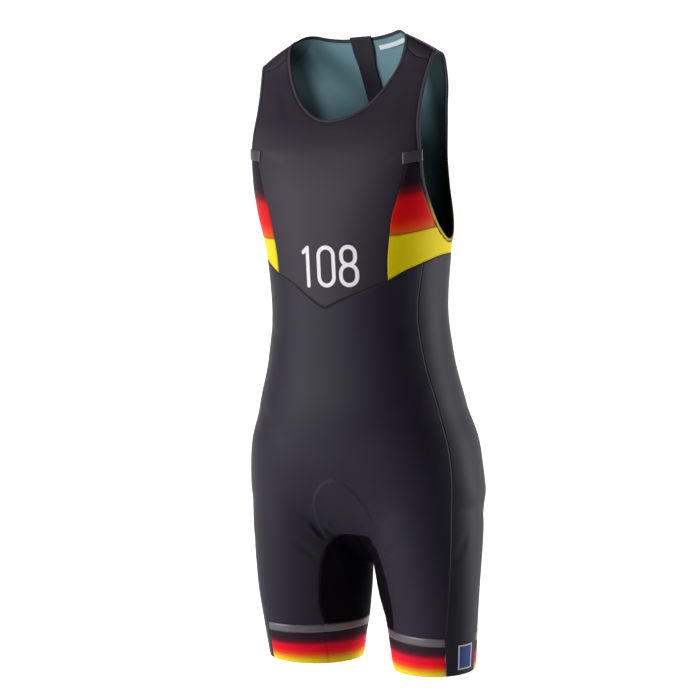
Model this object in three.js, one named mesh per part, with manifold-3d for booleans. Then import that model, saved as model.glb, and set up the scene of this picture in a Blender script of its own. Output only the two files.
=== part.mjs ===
// Sleeveless triathlon suit, worn shape with no wearer, cloth panels as thin walls.
// Millimetres, +Z up. The front faces -Y and the wearer's left is +X.
// The origin is midway between the two straps, level with the line where the shoulders carry them.
import * as THREE from 'three';
import { mergeVertices } from 'three/addons/utils/BufferGeometryUtils.js';
import Module from 'manifold-3d';

const wasm = await Module();
wasm.setup();

// Cloth and trim thicknesses
const WALL = 1.5;
const SEAM_GAP = 0.3;
const BINDING_WIDTH = 7;
const BINDING_PROUD = 0.35;
const BINDING_MARGIN = 0.4;
const TAPE_PROUD = 0.1;
const LAID_ON_GAP = 0.3;

// Heights of the leg trims
const BAND_TOP_Z = -842;
const TAPE_HEIGHT = 12;
const HEM_Z = -903;
const HEM_RISE = 6;

// Zip at the centre of the back
const ZIP_HALF = 6;
const ZIP_BOTTOM_Z = -372;
const ZIP_TAPE_WALL = 1.2;
const GUARD_HALF = 18;
const GUARD_RISE = 4;
const GUARD_WALL = 1.6;

// The worn form, upper part: one superellipse section for each height.
// Columns: z, halfWidth, frontDepth, backDepth, centreY, power
const TORSO = [
  [80, 260, 6, 12, 6, 3.2],
  [20, 250, 16, 32, 4, 3.4],
  [-30, 215, 24, 50, 4, 3.6],
  [-60, 188, 37, 64, 4, 3.5],
  [-90, 172, 53, 77, 4, 3.3],
  [-125, 162, 74, 87, 5, 3.1],
  [-160, 156, 88, 93, 6, 2.9],
  [-230, 150, 102, 101, 8, 2.5],
  [-300, 137, 104, 98, 8, 2.3],
  [-380, 133, 101, 88, 5, 2.2],
  [-450, 141, 100, 96, 0, 2.2],
  [-520, 158, 102, 114, -5, 2.2],
  [-590, 172, 98, 121, -4, 2.2],
  [-640, 172, 88, 114, 0, 2.2],
  [-690, 120, 58, 84, 6, 2.2],
  [-722, 30, 24, 34, 10, 2.2],
];
// The worn form, legs: one oblique ellipse for each height, long axis from outer front to inner back.
// Columns: z, centreX, centreY, halfLong, halfShort, turn in degrees
const LEG = [
  [-430, 62, 0, 20, 30, 0],
  [-510, 74, -1, 62, 62, 6],
  [-570, 82, -1, 85, 83, 12],
  [-640, 89, 1, 91, 85, 16],
  [-710, 94, 2, 89, 76, 22],
  [-780, 95, 2, 86, 65, 26],
  [-850, 97, 4, 78, 58, 30],
  [-905, 98, 4, 70, 55, 30],
];
// How far the right side's seams are lifted and moved inwards as the suit is worn
const RIGHT_SIDE = {
  lift: 13, inwards: 7, fromZ: -450, fullZ: -340, easeZ: -150, toZ: -50, reach: 80, edge: 140,
};
const CHEST_Z = -230;
const SHOULDER_POWER = 5;
const NECK_HEIGHT = 48;
const NECK_REACH = 85;
const NECK_DROP = 38;
const SHOULDER_SLOPE = 0.42;
const CROTCH_BLEND = 28;
const HIP_BLEND = 20;
const BLEND_REACH = 75;
const BETWEEN_LEGS_BLEND = 28;
// Sizes that turn the sections' shares into distances, and the slope of the form past its end sections
const TORSO_RADIUS = 110;
const LEG_RADIUS = 75;
const END_SLOPE = 1.2;
// How a point is walked to the form: number of moves and the longest of them
const WALK_MOVES = 14;
const LONGEST_MOVE = 12;

/** Monotone cubic curves through one table, one for each column after the first. */
function columnCurves(table) {
  const rows = [...table].sort((a, b) => a[0] - b[0]);
  const z = rows.map((row) => row[0]);
  const columns = rows[0].slice(1).map((_, c) => rows.map((row) => row[c + 1]));
  const slopes = columns.map((values) => monotoneSlopes(z, values));
  return (height) => {
    const h = THREE.MathUtils.clamp(height, z[0], z[z.length - 1]);
    let i = 0;
    while (i < z.length - 2 && h > z[i + 1]) i += 1;
    const span = z[i + 1] - z[i];
    const t = (h - z[i]) / span;
    return columns.map((values, c) => hermite(values[i], values[i + 1],
      slopes[c][i] * span, slopes[c][i + 1] * span, t));
  };
}

function hermite(a, b, slopeA, slopeB, t) {
  const t2 = t * t;
  const t3 = t2 * t;
  const values = a * (2 * t3 - 3 * t2 + 1) + b * (3 * t2 - 2 * t3);
  return values + slopeA * (t3 - 2 * t2 + t) + slopeB * (t3 - t2);
}

/** Slopes of a curve that overshoots none of its points. */
function monotoneSlopes(z, values) {
  const n = z.length;
  const steps = [];
  for (let i = 0; i < n - 1; i += 1) steps.push((values[i + 1] - values[i]) / (z[i + 1] - z[i]));
  const slopes = [steps[0]];
  for (let i = 1; i < n - 1; i += 1) {
    const before = z[i] - z[i - 1];
    const after = z[i + 1] - z[i];
    const same = steps[i - 1] * steps[i] > 0;
    const weightA = 2 * after + before;
    const weightB = after + 2 * before;
    slopes.push(same ? (weightA + weightB) / (weightA / steps[i - 1] + weightB / steps[i]) : 0);
  }
  slopes.push(steps[n - 2]);
  return slopes;
}

const torsoAt = columnCurves(TORSO);
const legAt = columnCurves(LEG);

/** Height of the shoulder ridge at a distance from the middle. */
function ridgeHeight(x) {
  const reach = Math.abs(x);
  const neck = NECK_DROP * Math.min(reach / NECK_REACH, 1) ** 1.6;
  return NECK_HEIGHT - neck - Math.max(reach - NECK_REACH, 0) * SHOULDER_SLOPE;
}

function torsoField(x, y, z) {
  const [halfWidth, frontDepth, backDepth, centreY, power] = torsoAt(z);
  const depth = y < centreY ? frontDepth : backDepth;
  const rise = Math.max((z - CHEST_Z) / (ridgeHeight(x) - CHEST_Z), 0) ** SHOULDER_POWER;
  const sum = Math.abs(x / halfWidth) ** power + Math.abs((y - centreY) / depth) ** power + rise;
  const below = Math.max(TORSO[TORSO.length - 1][0] - z, 0) * END_SLOPE;
  return (Math.max(sum, 1e-9) ** (1 / power) - 1) * Math.min(halfWidth, TORSO_RADIUS) + below;
}

function legField(x, y, z) {
  const [centreX, centreY, halfLong, halfShort, turn] = legAt(z);
  const angle = THREE.MathUtils.degToRad(turn);
  const u = -(x - centreX) * Math.cos(angle) + (y - centreY) * Math.sin(angle);
  const v = (x - centreX) * Math.sin(angle) + (y - centreY) * Math.cos(angle);
  const above = Math.max(z - LEG[0][0], 0) * END_SLOPE;
  return (Math.hypot(u / halfLong, v / halfShort) - 1) * LEG_RADIUS + above;
}

/** Union of two fields with a rounded hollow of the given size between them. */
function softUnion(a, b, size) {
  const h = THREE.MathUtils.clamp(0.5 + (0.5 * (b - a)) / size, 0, 1);
  return b * (1 - h) + a * h - size * h * (1 - h);
}

/** Below zero inside the worn form, above zero outside it. */
function form(x, y, z) {
  const legs = softUnion(legField(x, y, z), legField(-x, y, z), BETWEEN_LEGS_BLEND);
  const blend = HIP_BLEND + (CROTCH_BLEND - HIP_BLEND) / (1 + (x / BLEND_REACH) ** 4);
  return softUnion(torsoField(x, y, z), legs, blend);
}

function gradient(p) {
  const step = 0.05;
  return new THREE.Vector3(
    form(p.x + step, p.y, p.z) - form(p.x - step, p.y, p.z),
    form(p.x, p.y + step, p.z) - form(p.x, p.y - step, p.z),
    form(p.x, p.y, p.z + step) - form(p.x, p.y, p.z - step),
  ).divideScalar(2 * step);
}

/** Outward direction of the form at a point. */
function outward(p) {
  return gradient(p).normalize();
}

/** A point walked to the form down the field's slope, without change along the axes that are held. */
function walkToForm(p, held) {
  const q = p.clone();
  for (let i = 0; i < WALK_MOVES; i += 1) {
    const g = gradient(q);
    if (held.x) g.x = 0;
    if (held.z) g.z = 0;
    const move = form(q.x, q.y, q.z) / Math.max(g.lengthSq(), 1e-6);
    q.addScaledVector(g, -THREE.MathUtils.clamp(move, -LONGEST_MOVE, LONGEST_MOVE));
  }
  return q;
}

/** The point of the form nearest to a given point. */
function onForm(p) {
  return walkToForm(p, {});
}

/** The point of the form level with a given point. */
function onFormLevel(p) {
  return walkToForm(p, { z: true });
}

/** The point of the form in the same upright plane, front to back, as a given point. */
function onFormUpright(p) {
  return walkToForm(p, { x: true });
}

// Seams and edges of the wearer's left half: rows of x, y, z, each laid on the form.
// Neck edge, from the zip over the shoulder to the middle of the front
const NECK_EDGE = [
  [6, 40, 10],
  [30, 37, 10],
  [54, 29, 11],
  [72, 18, 11],
  [84, 6, 6],
  [91, -1, -4],
  [93, -6, -18],
  [91, -11, -33],
  [86, -19, -48],
  [79, -28, -61],
  [70, -38, -74],
  [56, -50, -90],
  [38, -59, -102],
  [19, -65, -109],
  [0, -67, -111],
];
const NECK_YOKE_BACK = 3;
const NECK_YOKE_FRONT = 6;
// Armhole edge, a closed loop from the yoke's back corner over the shoulder and down the front
const ARMHOLE_EDGE = [
  [136, 38, -36],
  [145, 10, -17],
  [140, -12, -33],
  [136, -27, -62],
  [135, -40, -90],
  [136, -50, -115],
  [138, -54, -140],
  [138, -51, -173],
  [137, -46, -203],
  [140, -34, -236],
  [145, -12, -266],
  [142, 26, -284],
  [128, 62, -266],
  [114, 84, -224],
  [111, 88, -182],
  [114, 84, -138],
  [120, 72, -98],
  [129, 54, -64],
];
const ARM_YOKE_BACK = 0;
const ARM_YOKE_FRONT = 2;
const ARM_TAB = 7;
const ARM_BACK_SEAM = 13;
// Seam from the chest tab down to the tip of the side panel
const CHEST_SEAM = [
  [118, -62, -176],
  [114, -66, -195],
  [107, -70, -220],
  [99, -74, -248],
  [94, -74, -277],
  [90, -74, -306],
  [88, -72, -335],
];
const BACK_SEAM_END = [101, 84, -318];
// Lower edge of the side panel, from its front tip round the side to its back tip
const RIB_SEAM_FRONT = [[88, -72, -335], [108, -58, -322], [128, -38, -313]];
const RIB_SEAM_SIDE = [[128, -38, -313], [138, -14, -307], [139, 14, -304], [129, 46, -303]];
const RIB_SEAM_BACK = [[129, 46, -303], [116, 68, -308], BACK_SEAM_END];
// Pointed seams across the front and the back
const POINT_SEAM_FRONT = [[88, -72, -335], [65, -84, -345], [43, -91, -354], [21, -96, -363], [0, -98, -372]];
const POINT_SEAM_BACK = [BACK_SEAM_END, [70, 92, -334], [38, 96, -354], [ZIP_HALF, 97, ZIP_BOTTOM_Z]];
// Seams in front of and behind the side strip, down to the leg band
const SIDE_SEAM_FRONT = [
  [128, -38, -313],
  [120, -46, -380],
  [127, -47, -450],
  [145, -46, -520],
  [157, -46, -590],
  [161, -48, -640],
];
const LEG_SEAM_FRONT = [[161, -48, -640], [160, -52, -710], [156, -56, -780], [146, -54, BAND_TOP_Z]];
const SIDE_SEAM_BACK = [
  [129, 46, -303],
  [121, 42, -380],
  [129, 38, -450],
  [150, 30, -520],
  [168, 20, -590],
  [175, 12, -640],
];
const LEG_SEAM_BACK = [[175, 12, -640], [178, 4, -710], [175, -2, -780], [166, -6, BAND_TOP_Z]];
// Level lines at the hips, where the body turns into two legs
const HIP_FRONT = [[161, -48, -640], [120, -80, -641], [62, -92, -643], [0, -90, -645]];
const HIP_BACK = [[175, 12, -640], [150, 70, -641], [84, 110, -643], [0, 118, -645]];
const CENTRE_FRONT = [[0, -90, -645], [0, -70, -682], [0, -42, -707]];
const CENTRE_BACK = [[0, 118, -645], [0, 92, -684], [0, 52, -707]];
// Seams of the inner leg panel, from under the crotch down to the leg band
const INNER_SEAM_FRONT = [
  [0, -42, -707],
  [18, -46, -708],
  [36, -54, -718],
  [48, -55, -742],
  [57, -52, -780],
  [60, -48, -812],
  [57, -40, BAND_TOP_Z],
];
const INNER_SEAM_BACK = [
  [0, 52, -707],
  [20, 56, -716],
  [38, 62, -730],
  [47, 62, -752],
  [51, 58, -782],
  [52, 52, -812],
  [51, 46, BAND_TOP_Z],
];
const CROTCH_LINE = [[0, -42, -707], [0, -24, -726], [0, 5, -736], [0, 32, -726], [0, 52, -707]];
// Corners of the leg bands on the hem, in order round the leg
const HEM_CORNERS = {
  sideFront: [143, -48],
  innerFront: [56, -34],
  innerBack: [50, 42],
  sideBack: [163, -4],
};

// Grid steps along each stretch
const STEPS = {
  point: 7,
  ribFront: 4,
  ribSide: 5,
  ribBack: 3,
  chest: 8,
  tab: 3,
  yokeAcross: 3,
  yokeOver: 5,
  neckBack: 4,
  armFront: 6,
  armLow: 9,
  armBack: 8,
  bodyDown: 14,
  centreDown: 5,
  innerDown: 6,
  crotch: 6,
  bandLong: 6,
  bandInner: 6,
};
// Dense points laid on the form for each row of a seam's table
const POINTS_PER_ROW = 12;
// The least share that a sharp corner's inset is divided by
const LEAST_LEAN = 0.25;

// Points closer together than this are one point, in the cloth and in the small metal parts
const SAME_POINT = 0.02;
const WELD = 1e-4;

const vector = ([x, y, z]) => new THREE.Vector3(x, y, z);

/** Points at equal steps along a dense line of points. */
function equalSteps(line, steps) {
  const reach = [0];
  for (let i = 1; i < line.length; i += 1) reach.push(reach[i - 1] + line[i].distanceTo(line[i - 1]));
  const total = reach[reach.length - 1];
  const points = [];
  let k = 0;
  for (let i = 0; i <= steps; i += 1) {
    const target = (total * i) / steps;
    while (k < line.length - 2 && reach[k + 1] < target) k += 1;
    const share = (target - reach[k]) / (reach[k + 1] - reach[k]);
    points.push(line[k].clone().lerp(line[k + 1], THREE.MathUtils.clamp(share, 0, 1)));
  }
  return points;
}

/** A smooth line through some of a table's rows, laid on the form in equal steps. */
function seam(rows, steps, { lay = onForm, closed = false, from = 0, to = rows.length - 1 } = {}) {
  const spline = new THREE.CatmullRomCurve3(rows.map(vector).map(lay), closed, 'catmullrom', 0.5);
  const spans = closed ? rows.length : rows.length - 1;
  const count = POINTS_PER_ROW * (to - from);
  const dense = [];
  for (let i = 0; i <= count; i += 1) {
    const place = (from + ((to - from) * i) / count) / spans;
    dense.push(lay(spline.getPoint(closed ? place % 1 : place)));
  }
  return equalSteps(dense, steps).map(lay);
}

/** A line moved sideways in the cloth by a width, to its left seen from outside for a positive one. */
function moved(line, width) {
  return line.map((p, i) => {
    const along = line[Math.min(i + 1, line.length - 1)].clone().sub(line[Math.max(i - 1, 0)]).normalize();
    return onForm(p.clone().addScaledVector(outward(p).cross(along).normalize(), width));
  });
}

const joined = (...lines) => lines.flatMap((line, i) => (i === 0 ? line : line.slice(1)));
const backwards = (line) => [...line].reverse();

/**
 * The point of the wearer's right half for a point of the left half. As worn, the seams of the right
 * side sit a little higher and nearer the middle between shoulder and waist.
 */
function onRight(p) {
  const { smoothstep } = THREE.MathUtils;
  const waist = smoothstep(p.z, RIGHT_SIDE.fromZ, RIGHT_SIDE.fullZ);
  const low = 1 - smoothstep(p.z, RIGHT_SIDE.easeZ, RIGHT_SIDE.toZ);
  const lift = RIGHT_SIDE.lift * waist * low * smoothstep(p.x, 0, RIGHT_SIDE.reach);
  const inwards = RIGHT_SIDE.inwards * waist * smoothstep(p.x, 0, RIGHT_SIDE.reach)
    * (1 - smoothstep(p.x, RIGHT_SIDE.reach, RIGHT_SIDE.edge));
  const q = new THREE.Vector3(-p.x + inwards, p.y, p.z + lift);
  return lift + inwards > 0 ? onForm(q) : q;
}

const otherSide = (line) => line.map(onRight);

/** A grid of points between four lines: left and right run upwards, the others from left to right. */
function patch({ bottom, top, left, right }) {
  const across = bottom.length - 1;
  const up = left.length - 1;
  const grid = [];
  for (let j = 0; j <= up; j += 1) {
    const v = j / up;
    const row = [];
    for (let i = 0; i <= across; i += 1) {
      const u = i / across;
      const level = (j === 0 && bottom[i]) || (j === up && top[i]);
      const edge = level || (i === 0 && left[j]) || (i === across && right[j]);
      if (edge) {
        row.push(edge.clone());
      } else {
        const p = new THREE.Vector3()
          .addScaledVector(bottom[i], 1 - v)
          .addScaledVector(top[i], v)
          .addScaledVector(left[j], 1 - u)
          .addScaledVector(right[j], u)
          .addScaledVector(bottom[0], -(1 - u) * (1 - v))
          .addScaledVector(bottom[across], -u * (1 - v))
          .addScaledVector(top[0], -(1 - u) * v)
          .addScaledVector(top[across], -u * v);
        row.push(onForm(p));
      }
    }
    grid.push(row);
  }
  return grid;
}

/** One surface from grids that share edge points, with its faces turned outwards. */
function surface(...grids) {
  const points = [];
  const indexOf = (p) => {
    const known = points.findIndex((q) => q.distanceToSquared(p) < SAME_POINT ** 2);
    return known < 0 ? points.push(p) - 1 : known;
  };
  const faces = [];
  for (const grid of grids) {
    const ids = grid.map((row) => row.map(indexOf));
    const quads = [];
    for (let j = 0; j < ids.length - 1; j += 1) {
      for (let i = 0; i < ids[0].length - 1; i += 1) {
        quads.push([ids[j][i], ids[j][i + 1], ids[j + 1][i + 1], ids[j + 1][i]]);
      }
    }
    const facing = quads.reduce((sum, quad) => sum + facesOut(points, quad), 0);
    for (const quad of quads) faces.push(...triangles(points, facing > 0 ? quad : [...quad].reverse()));
  }
  return { points, faces: faces.filter(([a, b, c]) => a !== b && b !== c && c !== a) };
}

function facesOut(points, [a, b, c, d]) {
  const across = points[c].clone().sub(points[a]);
  const other = points[d].clone().sub(points[b]);
  const middle = points[a].clone().add(points[c]).multiplyScalar(0.5);
  return across.cross(other).normalize().dot(outward(middle));
}

/** A four-sided face cut along its shorter diagonal. */
function triangles(points, [a, b, c, d]) {
  const first = points[a].distanceTo(points[c]) <= points[b].distanceTo(points[d]);
  return first ? [[a, b, c], [a, c, d]] : [[a, b, d], [b, c, d]];
}

/** For each point on the surface's border, the points before and after it along the border. */
function borderOf(faces) {
  const used = new Set(faces.flatMap(([a, b, c]) => [`${a} ${b}`, `${b} ${c}`, `${c} ${a}`]));
  const border = new Map();
  for (const [a, b, c] of faces) {
    for (const [from, to] of [[a, b], [b, c], [c, a]]) {
      if (!used.has(`${to} ${from}`)) {
        if (!border.has(from)) border.set(from, {});
        if (!border.has(to)) border.set(to, {});
        border.get(from).after = to;
        border.get(to).before = from;
      }
    }
  }
  return border;
}

/** A closed wall on a surface, from one distance to another along its outward directions. */
function wall({ points, faces }, { inner = -WALL, outer = 0, margin = SEAM_GAP / 2 } = {}) {
  const border = borderOf(faces);
  const normals = points.map(outward);
  const middle = points.map((p, i) => {
    if (!border.has(i)) return p;
    const { before, after } = border.get(i);
    const sides = [[points[before], p], [p, points[after]]].map(([a, b]) => (
      normals[i].clone().cross(b.clone().sub(a)).normalize()
    ));
    const lean = Math.max(1 + sides[0].dot(sides[1]), LEAST_LEAN);
    return p.clone().addScaledVector(sides[0].add(sides[1]), margin / lean);
  });
  const count = points.length;
  const layer = (distance) => middle.map((p, i) => p.clone().addScaledVector(normals[i], distance));
  const index = faces.flatMap(([a, b, c]) => [a, b, c, count + c, count + b, count + a]);
  for (const [from, { after: to }] of border) {
    index.push(from, count + from, to, to, count + from, count + to);
  }
  return solid([...layer(outer), ...layer(inner)], index);
}

function solid(points, index) {
  const geometry = new THREE.BufferGeometry();
  const places = points.flatMap((p) => p.toArray());
  geometry.setAttribute('position', new THREE.Float32BufferAttribute(places, 3));
  geometry.setIndex(index);
  return geometry;
}

/** The same surface on the wearer's other side. */
function mirrored({ points, faces }) {
  return { points: points.map(onRight), faces: faces.map(([a, b, c]) => [c, b, a]) };
}

// Lines of the wearer's left half. Edges first, then the seams one binding's width inside them.
const neckEdge = joined(
  seam(NECK_EDGE, STEPS.neckBack, { from: 0, to: NECK_YOKE_BACK }),
  seam(NECK_EDGE, STEPS.yokeOver, { from: NECK_YOKE_BACK, to: NECK_YOKE_FRONT }),
  seam(NECK_EDGE, STEPS.point, { from: NECK_YOKE_FRONT }),
);
const neckSeam = moved(neckEdge, BINDING_WIDTH);
for (const line of [neckEdge, neckSeam]) {
  line[0].x = ZIP_HALF;
  line.at(-1).x = 0;
}
const neckBack = neckSeam.slice(0, STEPS.neckBack + 1);
const neckYoke = neckSeam.slice(STEPS.neckBack, STEPS.neckBack + STEPS.yokeOver + 1);
const neckFront = neckSeam.slice(STEPS.neckBack + STEPS.yokeOver);

const armStretch = (from, to, steps) => seam(ARMHOLE_EDGE, steps, { closed: true, from, to });
const armholeEdge = joined(
  armStretch(ARM_YOKE_BACK, ARM_YOKE_FRONT, STEPS.yokeOver),
  armStretch(ARM_YOKE_FRONT, ARM_TAB, STEPS.armFront),
  armStretch(ARM_TAB, ARM_BACK_SEAM, STEPS.armLow),
  armStretch(ARM_BACK_SEAM, ARMHOLE_EDGE.length, STEPS.armBack),
);
armholeEdge.pop();
const armholeLoop = [armholeEdge.at(-1), ...armholeEdge, armholeEdge[0]];
const armholeSeam = moved(armholeLoop, -BINDING_WIDTH).slice(1, -1);

/** A stretch of a closed line. */
const round = (line, start, steps) => (
  Array.from({ length: steps + 1 }, (_, i) => line[(start + i) % line.length])
);
const armYoke = round(armholeSeam, 0, STEPS.yokeOver);
const armFront = round(armholeSeam, STEPS.yokeOver, STEPS.armFront);
const armLow = round(armholeSeam, STEPS.yokeOver + STEPS.armFront, STEPS.armLow);
const armBack = round(armholeSeam, STEPS.yokeOver + STEPS.armFront + STEPS.armLow, STEPS.armBack);

/** A seam between two given points, by way of a few rows between them. */
function seamBetween(start, rows, end, steps, lay = onForm) {
  const line = seam([start.toArray(), ...rows, end.toArray()], steps, { lay });
  line[0] = start;
  line[steps] = end;
  return line;
}
const yokeFront = seamBetween(neckFront[0], [[116, -12, -28]], armFront[0], STEPS.yokeAcross);
const yokeBack = seamBetween(neckYoke[0], [[108, 30, -20]], armYoke[0], STEPS.yokeAcross);
const chestSeam = seam(CHEST_SEAM, STEPS.chest);
const tabLine = seamBetween(chestSeam[0], [], armLow[0], STEPS.tab);
const ribFront = seam(RIB_SEAM_FRONT, STEPS.ribFront);
const ribSide = seam(RIB_SEAM_SIDE, STEPS.ribSide);
const ribBack = seam(RIB_SEAM_BACK, STEPS.ribBack);
const ribSeam = joined(ribFront, ribSide, ribBack);
const pointFront = seam(POINT_SEAM_FRONT, STEPS.point);
const pointBack = seam(POINT_SEAM_BACK, STEPS.neckBack + STEPS.yokeAcross);
pointBack.at(-1).x = ZIP_HALF;
const backSeam = seamBetween(armBack[0], [[108, 86, -270]], ribSeam.at(-1), STEPS.chest);
const zipEdge = seamBetween(
  pointBack.at(-1),
  [[ZIP_HALF, 96, -300], [ZIP_HALF, 104, -230], [ZIP_HALF, 96, -160], [ZIP_HALF, 74, -80]],
  neckBack[0],
  STEPS.chest + STEPS.armBack,
  onFormUpright,
);
const chestLine = seamBetween(
  chestSeam[0],
  [[60, -80, -172], [0, -84, -170], [-60, -80, -172]],
  otherSide(chestSeam)[0],
  2 * STEPS.point,
);
const sideFront = seam(SIDE_SEAM_FRONT, STEPS.bodyDown);
const sideBack = seam(SIDE_SEAM_BACK, STEPS.bodyDown);
const legRows = STEPS.centreDown + STEPS.innerDown;
const legFront = seam(LEG_SEAM_FRONT, legRows);
const legBack = seam(LEG_SEAM_BACK, legRows);
const centreFront = seam(CENTRE_FRONT, STEPS.centreDown, { lay: onFormUpright });
const centreBack = seam(CENTRE_BACK, STEPS.centreDown, { lay: onFormUpright });
const innerFront = seam(INNER_SEAM_FRONT, STEPS.innerDown);
const innerBack = seam(INNER_SEAM_BACK, STEPS.innerDown);
const crotchLine = seam(CROTCH_LINE, STEPS.crotch, { lay: onFormUpright });
const hipFront = seam(HIP_FRONT, STEPS.ribFront + STEPS.point);
const hipBack = seam(HIP_BACK, STEPS.ribBack + pointBack.length);

/** The point of the leg at an angle about its centre line. */
function legPoint(angle, z) {
  const [centreX, centreY] = legAt(z);
  return onFormLevel(new THREE.Vector3(centreX + 60 * Math.cos(angle), centreY + 60 * Math.sin(angle), z));
}

function legAngle({ x, y, z }) {
  const [centreX, centreY] = legAt(z);
  return Math.atan2(y - centreY, x - centreX);
}

/** A level line round the leg from one point to another, front to inside to back. */
function legLine(from, to, steps, onHem = false) {
  const start = legAngle(from);
  const end = legAngle(to) - (legAngle(to) > start ? 2 * Math.PI : 0);
  const line = Array.from({ length: steps + 1 }, (_, i) => {
    const p = legPoint(start + ((end - start) * i) / steps, from.z);
    return onHem ? onFormLevel(p.setZ(hemHeight(p))) : p;
  });
  line[0] = from;
  line[steps] = to;
  return line;
}

// The four upright seams through the leg trims, each from the band's top to the hem
const trimHeights = [BAND_TOP_Z, BAND_TOP_Z - TAPE_HEIGHT, (BAND_TOP_Z - TAPE_HEIGHT + HEM_Z) / 2, HEM_Z];
const HEM_ROW = trimHeights.length - 1;

/** Height of the hem at a point of the leg: a little higher at the outer side. */
function hemHeight({ x, y }) {
  return HEM_Z + HEM_RISE * (0.5 + 0.5 * Math.cos(legAngle(new THREE.Vector3(x, y, HEM_Z))));
}
function trimSeam(line, [hemX, hemY]) {
  const top = line.at(-1);
  const seamPoints = trimHeights.map((z) => {
    const share = (z - BAND_TOP_Z) / (HEM_Z - BAND_TOP_Z);
    const p = new THREE.Vector3(
      THREE.MathUtils.lerp(top.x, hemX, share), THREE.MathUtils.lerp(top.y, hemY, share), z,
    );
    return onFormLevel(z === HEM_Z ? p.setZ(hemHeight(p)) : p);
  });
  line[line.length - 1] = seamPoints[0];
  return seamPoints;
}
const trims = {
  sideFront: trimSeam(legFront, HEM_CORNERS.sideFront),
  innerFront: trimSeam(innerFront, HEM_CORNERS.innerFront),
  innerBack: trimSeam(innerBack, HEM_CORNERS.innerBack),
  sideBack: trimSeam(legBack, HEM_CORNERS.sideBack),
};

// Cloth panels that lie across the middle
const across = (line) => joined(line, backwards(otherSide(line)));
const frontUpper = surface(
  patch({
    bottom: across(pointFront),
    top: chestLine,
    left: backwards(chestSeam),
    right: otherSide(backwards(chestSeam)),
  }),
  patch({
    bottom: joined(backwards(tabLine), chestLine, otherSide(tabLine)),
    top: across(joined(backwards(yokeFront), neckFront)),
    left: backwards(armFront),
    right: otherSide(backwards(armFront)),
  }),
);
const legFrontGrid = patch({
  bottom: legLine(legFront.at(-1), innerFront.at(-1), hipFront.length - 1),
  top: hipFront,
  left: backwards(legFront),
  right: backwards(joined(centreFront, innerFront)),
});
const bodyFrontGrid = patch({
  bottom: across(hipFront),
  top: across(joined(backwards(ribFront), pointFront)),
  left: backwards(sideFront),
  right: otherSide(backwards(sideFront)),
});
const frontLower = surface(bodyFrontGrid, legFrontGrid, legFrontGrid.map(otherSide));
const legBackGrid = patch({
  bottom: backwards(legLine(innerBack.at(-1), legBack.at(-1), hipBack.length - 1)),
  top: hipBack,
  left: backwards(legBack),
  right: backwards(joined(centreBack, innerBack)),
});
const zipFoot = onFormUpright(new THREE.Vector3(0, zipEdge[0].y, ZIP_BOTTOM_Z));
const bodyBackGrid = patch({
  bottom: across(hipBack),
  top: across(joined(ribBack, pointBack, [pointBack.at(-1), zipFoot])),
  left: backwards(sideBack),
  right: otherSide(backwards(sideBack)),
});
const backLower = surface(bodyBackGrid, legBackGrid, legBackGrid.map(otherSide));

// Cloth panels of the wearer's left half, each with its mirror image on the right
const yoke = surface(patch({
  bottom: yokeFront,
  top: yokeBack,
  left: backwards(neckYoke),
  right: backwards(armYoke),
}));
const sideUpper = surface(patch({
  bottom: ribSeam,
  top: joined(tabLine, armLow),
  left: backwards(chestSeam),
  right: backwards(backSeam),
}));
const backUpper = surface(patch({
  bottom: backwards(pointBack),
  top: joined(neckBack, yokeBack),
  left: zipEdge,
  right: joined(backwards(backSeam), armBack),
}));
const sideLower = surface(patch({
  bottom: backwards(legLine(trims.sideBack.at(-1), trims.sideFront.at(-1), STEPS.ribSide, true)),
  top: ribSide,
  left: backwards(joined(sideFront, legFront, trims.sideFront)),
  right: backwards(joined(sideBack, legBack, trims.sideBack)),
}));
const innerLegGrid = patch({
  bottom: legLine(innerFront.at(-1), innerBack.at(-1), STEPS.crotch),
  top: crotchLine,
  left: backwards(innerFront),
  right: backwards(innerBack),
});
const innerLeg = surface(innerLegGrid);

/** The stretch of a leg trim between two upright seams and two of the trim's heights. */
function trimGrid(from, to, first, last, steps) {
  const rows = [];
  for (let k = first; k <= last; k += 1) rows.push(legLine(from[k], to[k], steps, k === HEM_ROW));
  return rows;
}
const trimStretches = {
  front: [trims.sideFront, trims.innerFront, STEPS.bandLong],
  inner: [trims.innerFront, trims.innerBack, STEPS.bandInner],
  back: [trims.innerBack, trims.sideBack, STEPS.bandLong],
};

// Trims: bindings, zip, chest tabs, badge, label and seat pad
const neckBinding = surface([across(neckSeam), across(neckEdge)]);
const armholeBinding = surface([
  round(armholeSeam, 0, armholeSeam.length),
  round(armholeEdge, 0, armholeEdge.length),
]);
const zipLong = joined(zipEdge, [zipEdge.at(-1), neckEdge[0]]);
const beside = (line, x) => line.map((p) => onFormUpright(new THREE.Vector3(x, p.y, p.z)));
const zipTape = surface([beside(zipLong, 0), zipLong]);
const guardTop = neckEdge[0].clone().setZ(neckEdge[0].z + GUARD_RISE);
const guardLong = joined(zipLong, [zipLong.at(-1), guardTop]);
const zipGuard = surface([-1, -0.5, 0, 0.5, 1].map((share) => beside(guardLong, share * GUARD_HALF)));

const TAB = { height: 16, gap: 0.8, wall: 1 };
const tabFoot = joined(tabLine, [tabLine.at(-1), armholeEdge[STEPS.yokeOver + STEPS.armFront]]);
const chestTab = surface([0, 0.5, 1].map((share) => (
  tabFoot.map((p) => onFormLevel(p.clone().setZ(p.z + TAB.height * share)))
)));

const BADGE = { angle: -0.46, width: 22, height: 36, middleZ: -871, legRadius: 70, gap: 0.4, wall: 1 };
const BADGE_LINES = [-0.5, -0.17, 0.17, 0.5];
const badge = surface(BADGE_LINES.map((up) => BADGE_LINES.map((along) => (
  legPoint(BADGE.angle + (along * BADGE.width) / BADGE.legRadius, BADGE.middleZ + up * BADGE.height)
))));

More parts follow.
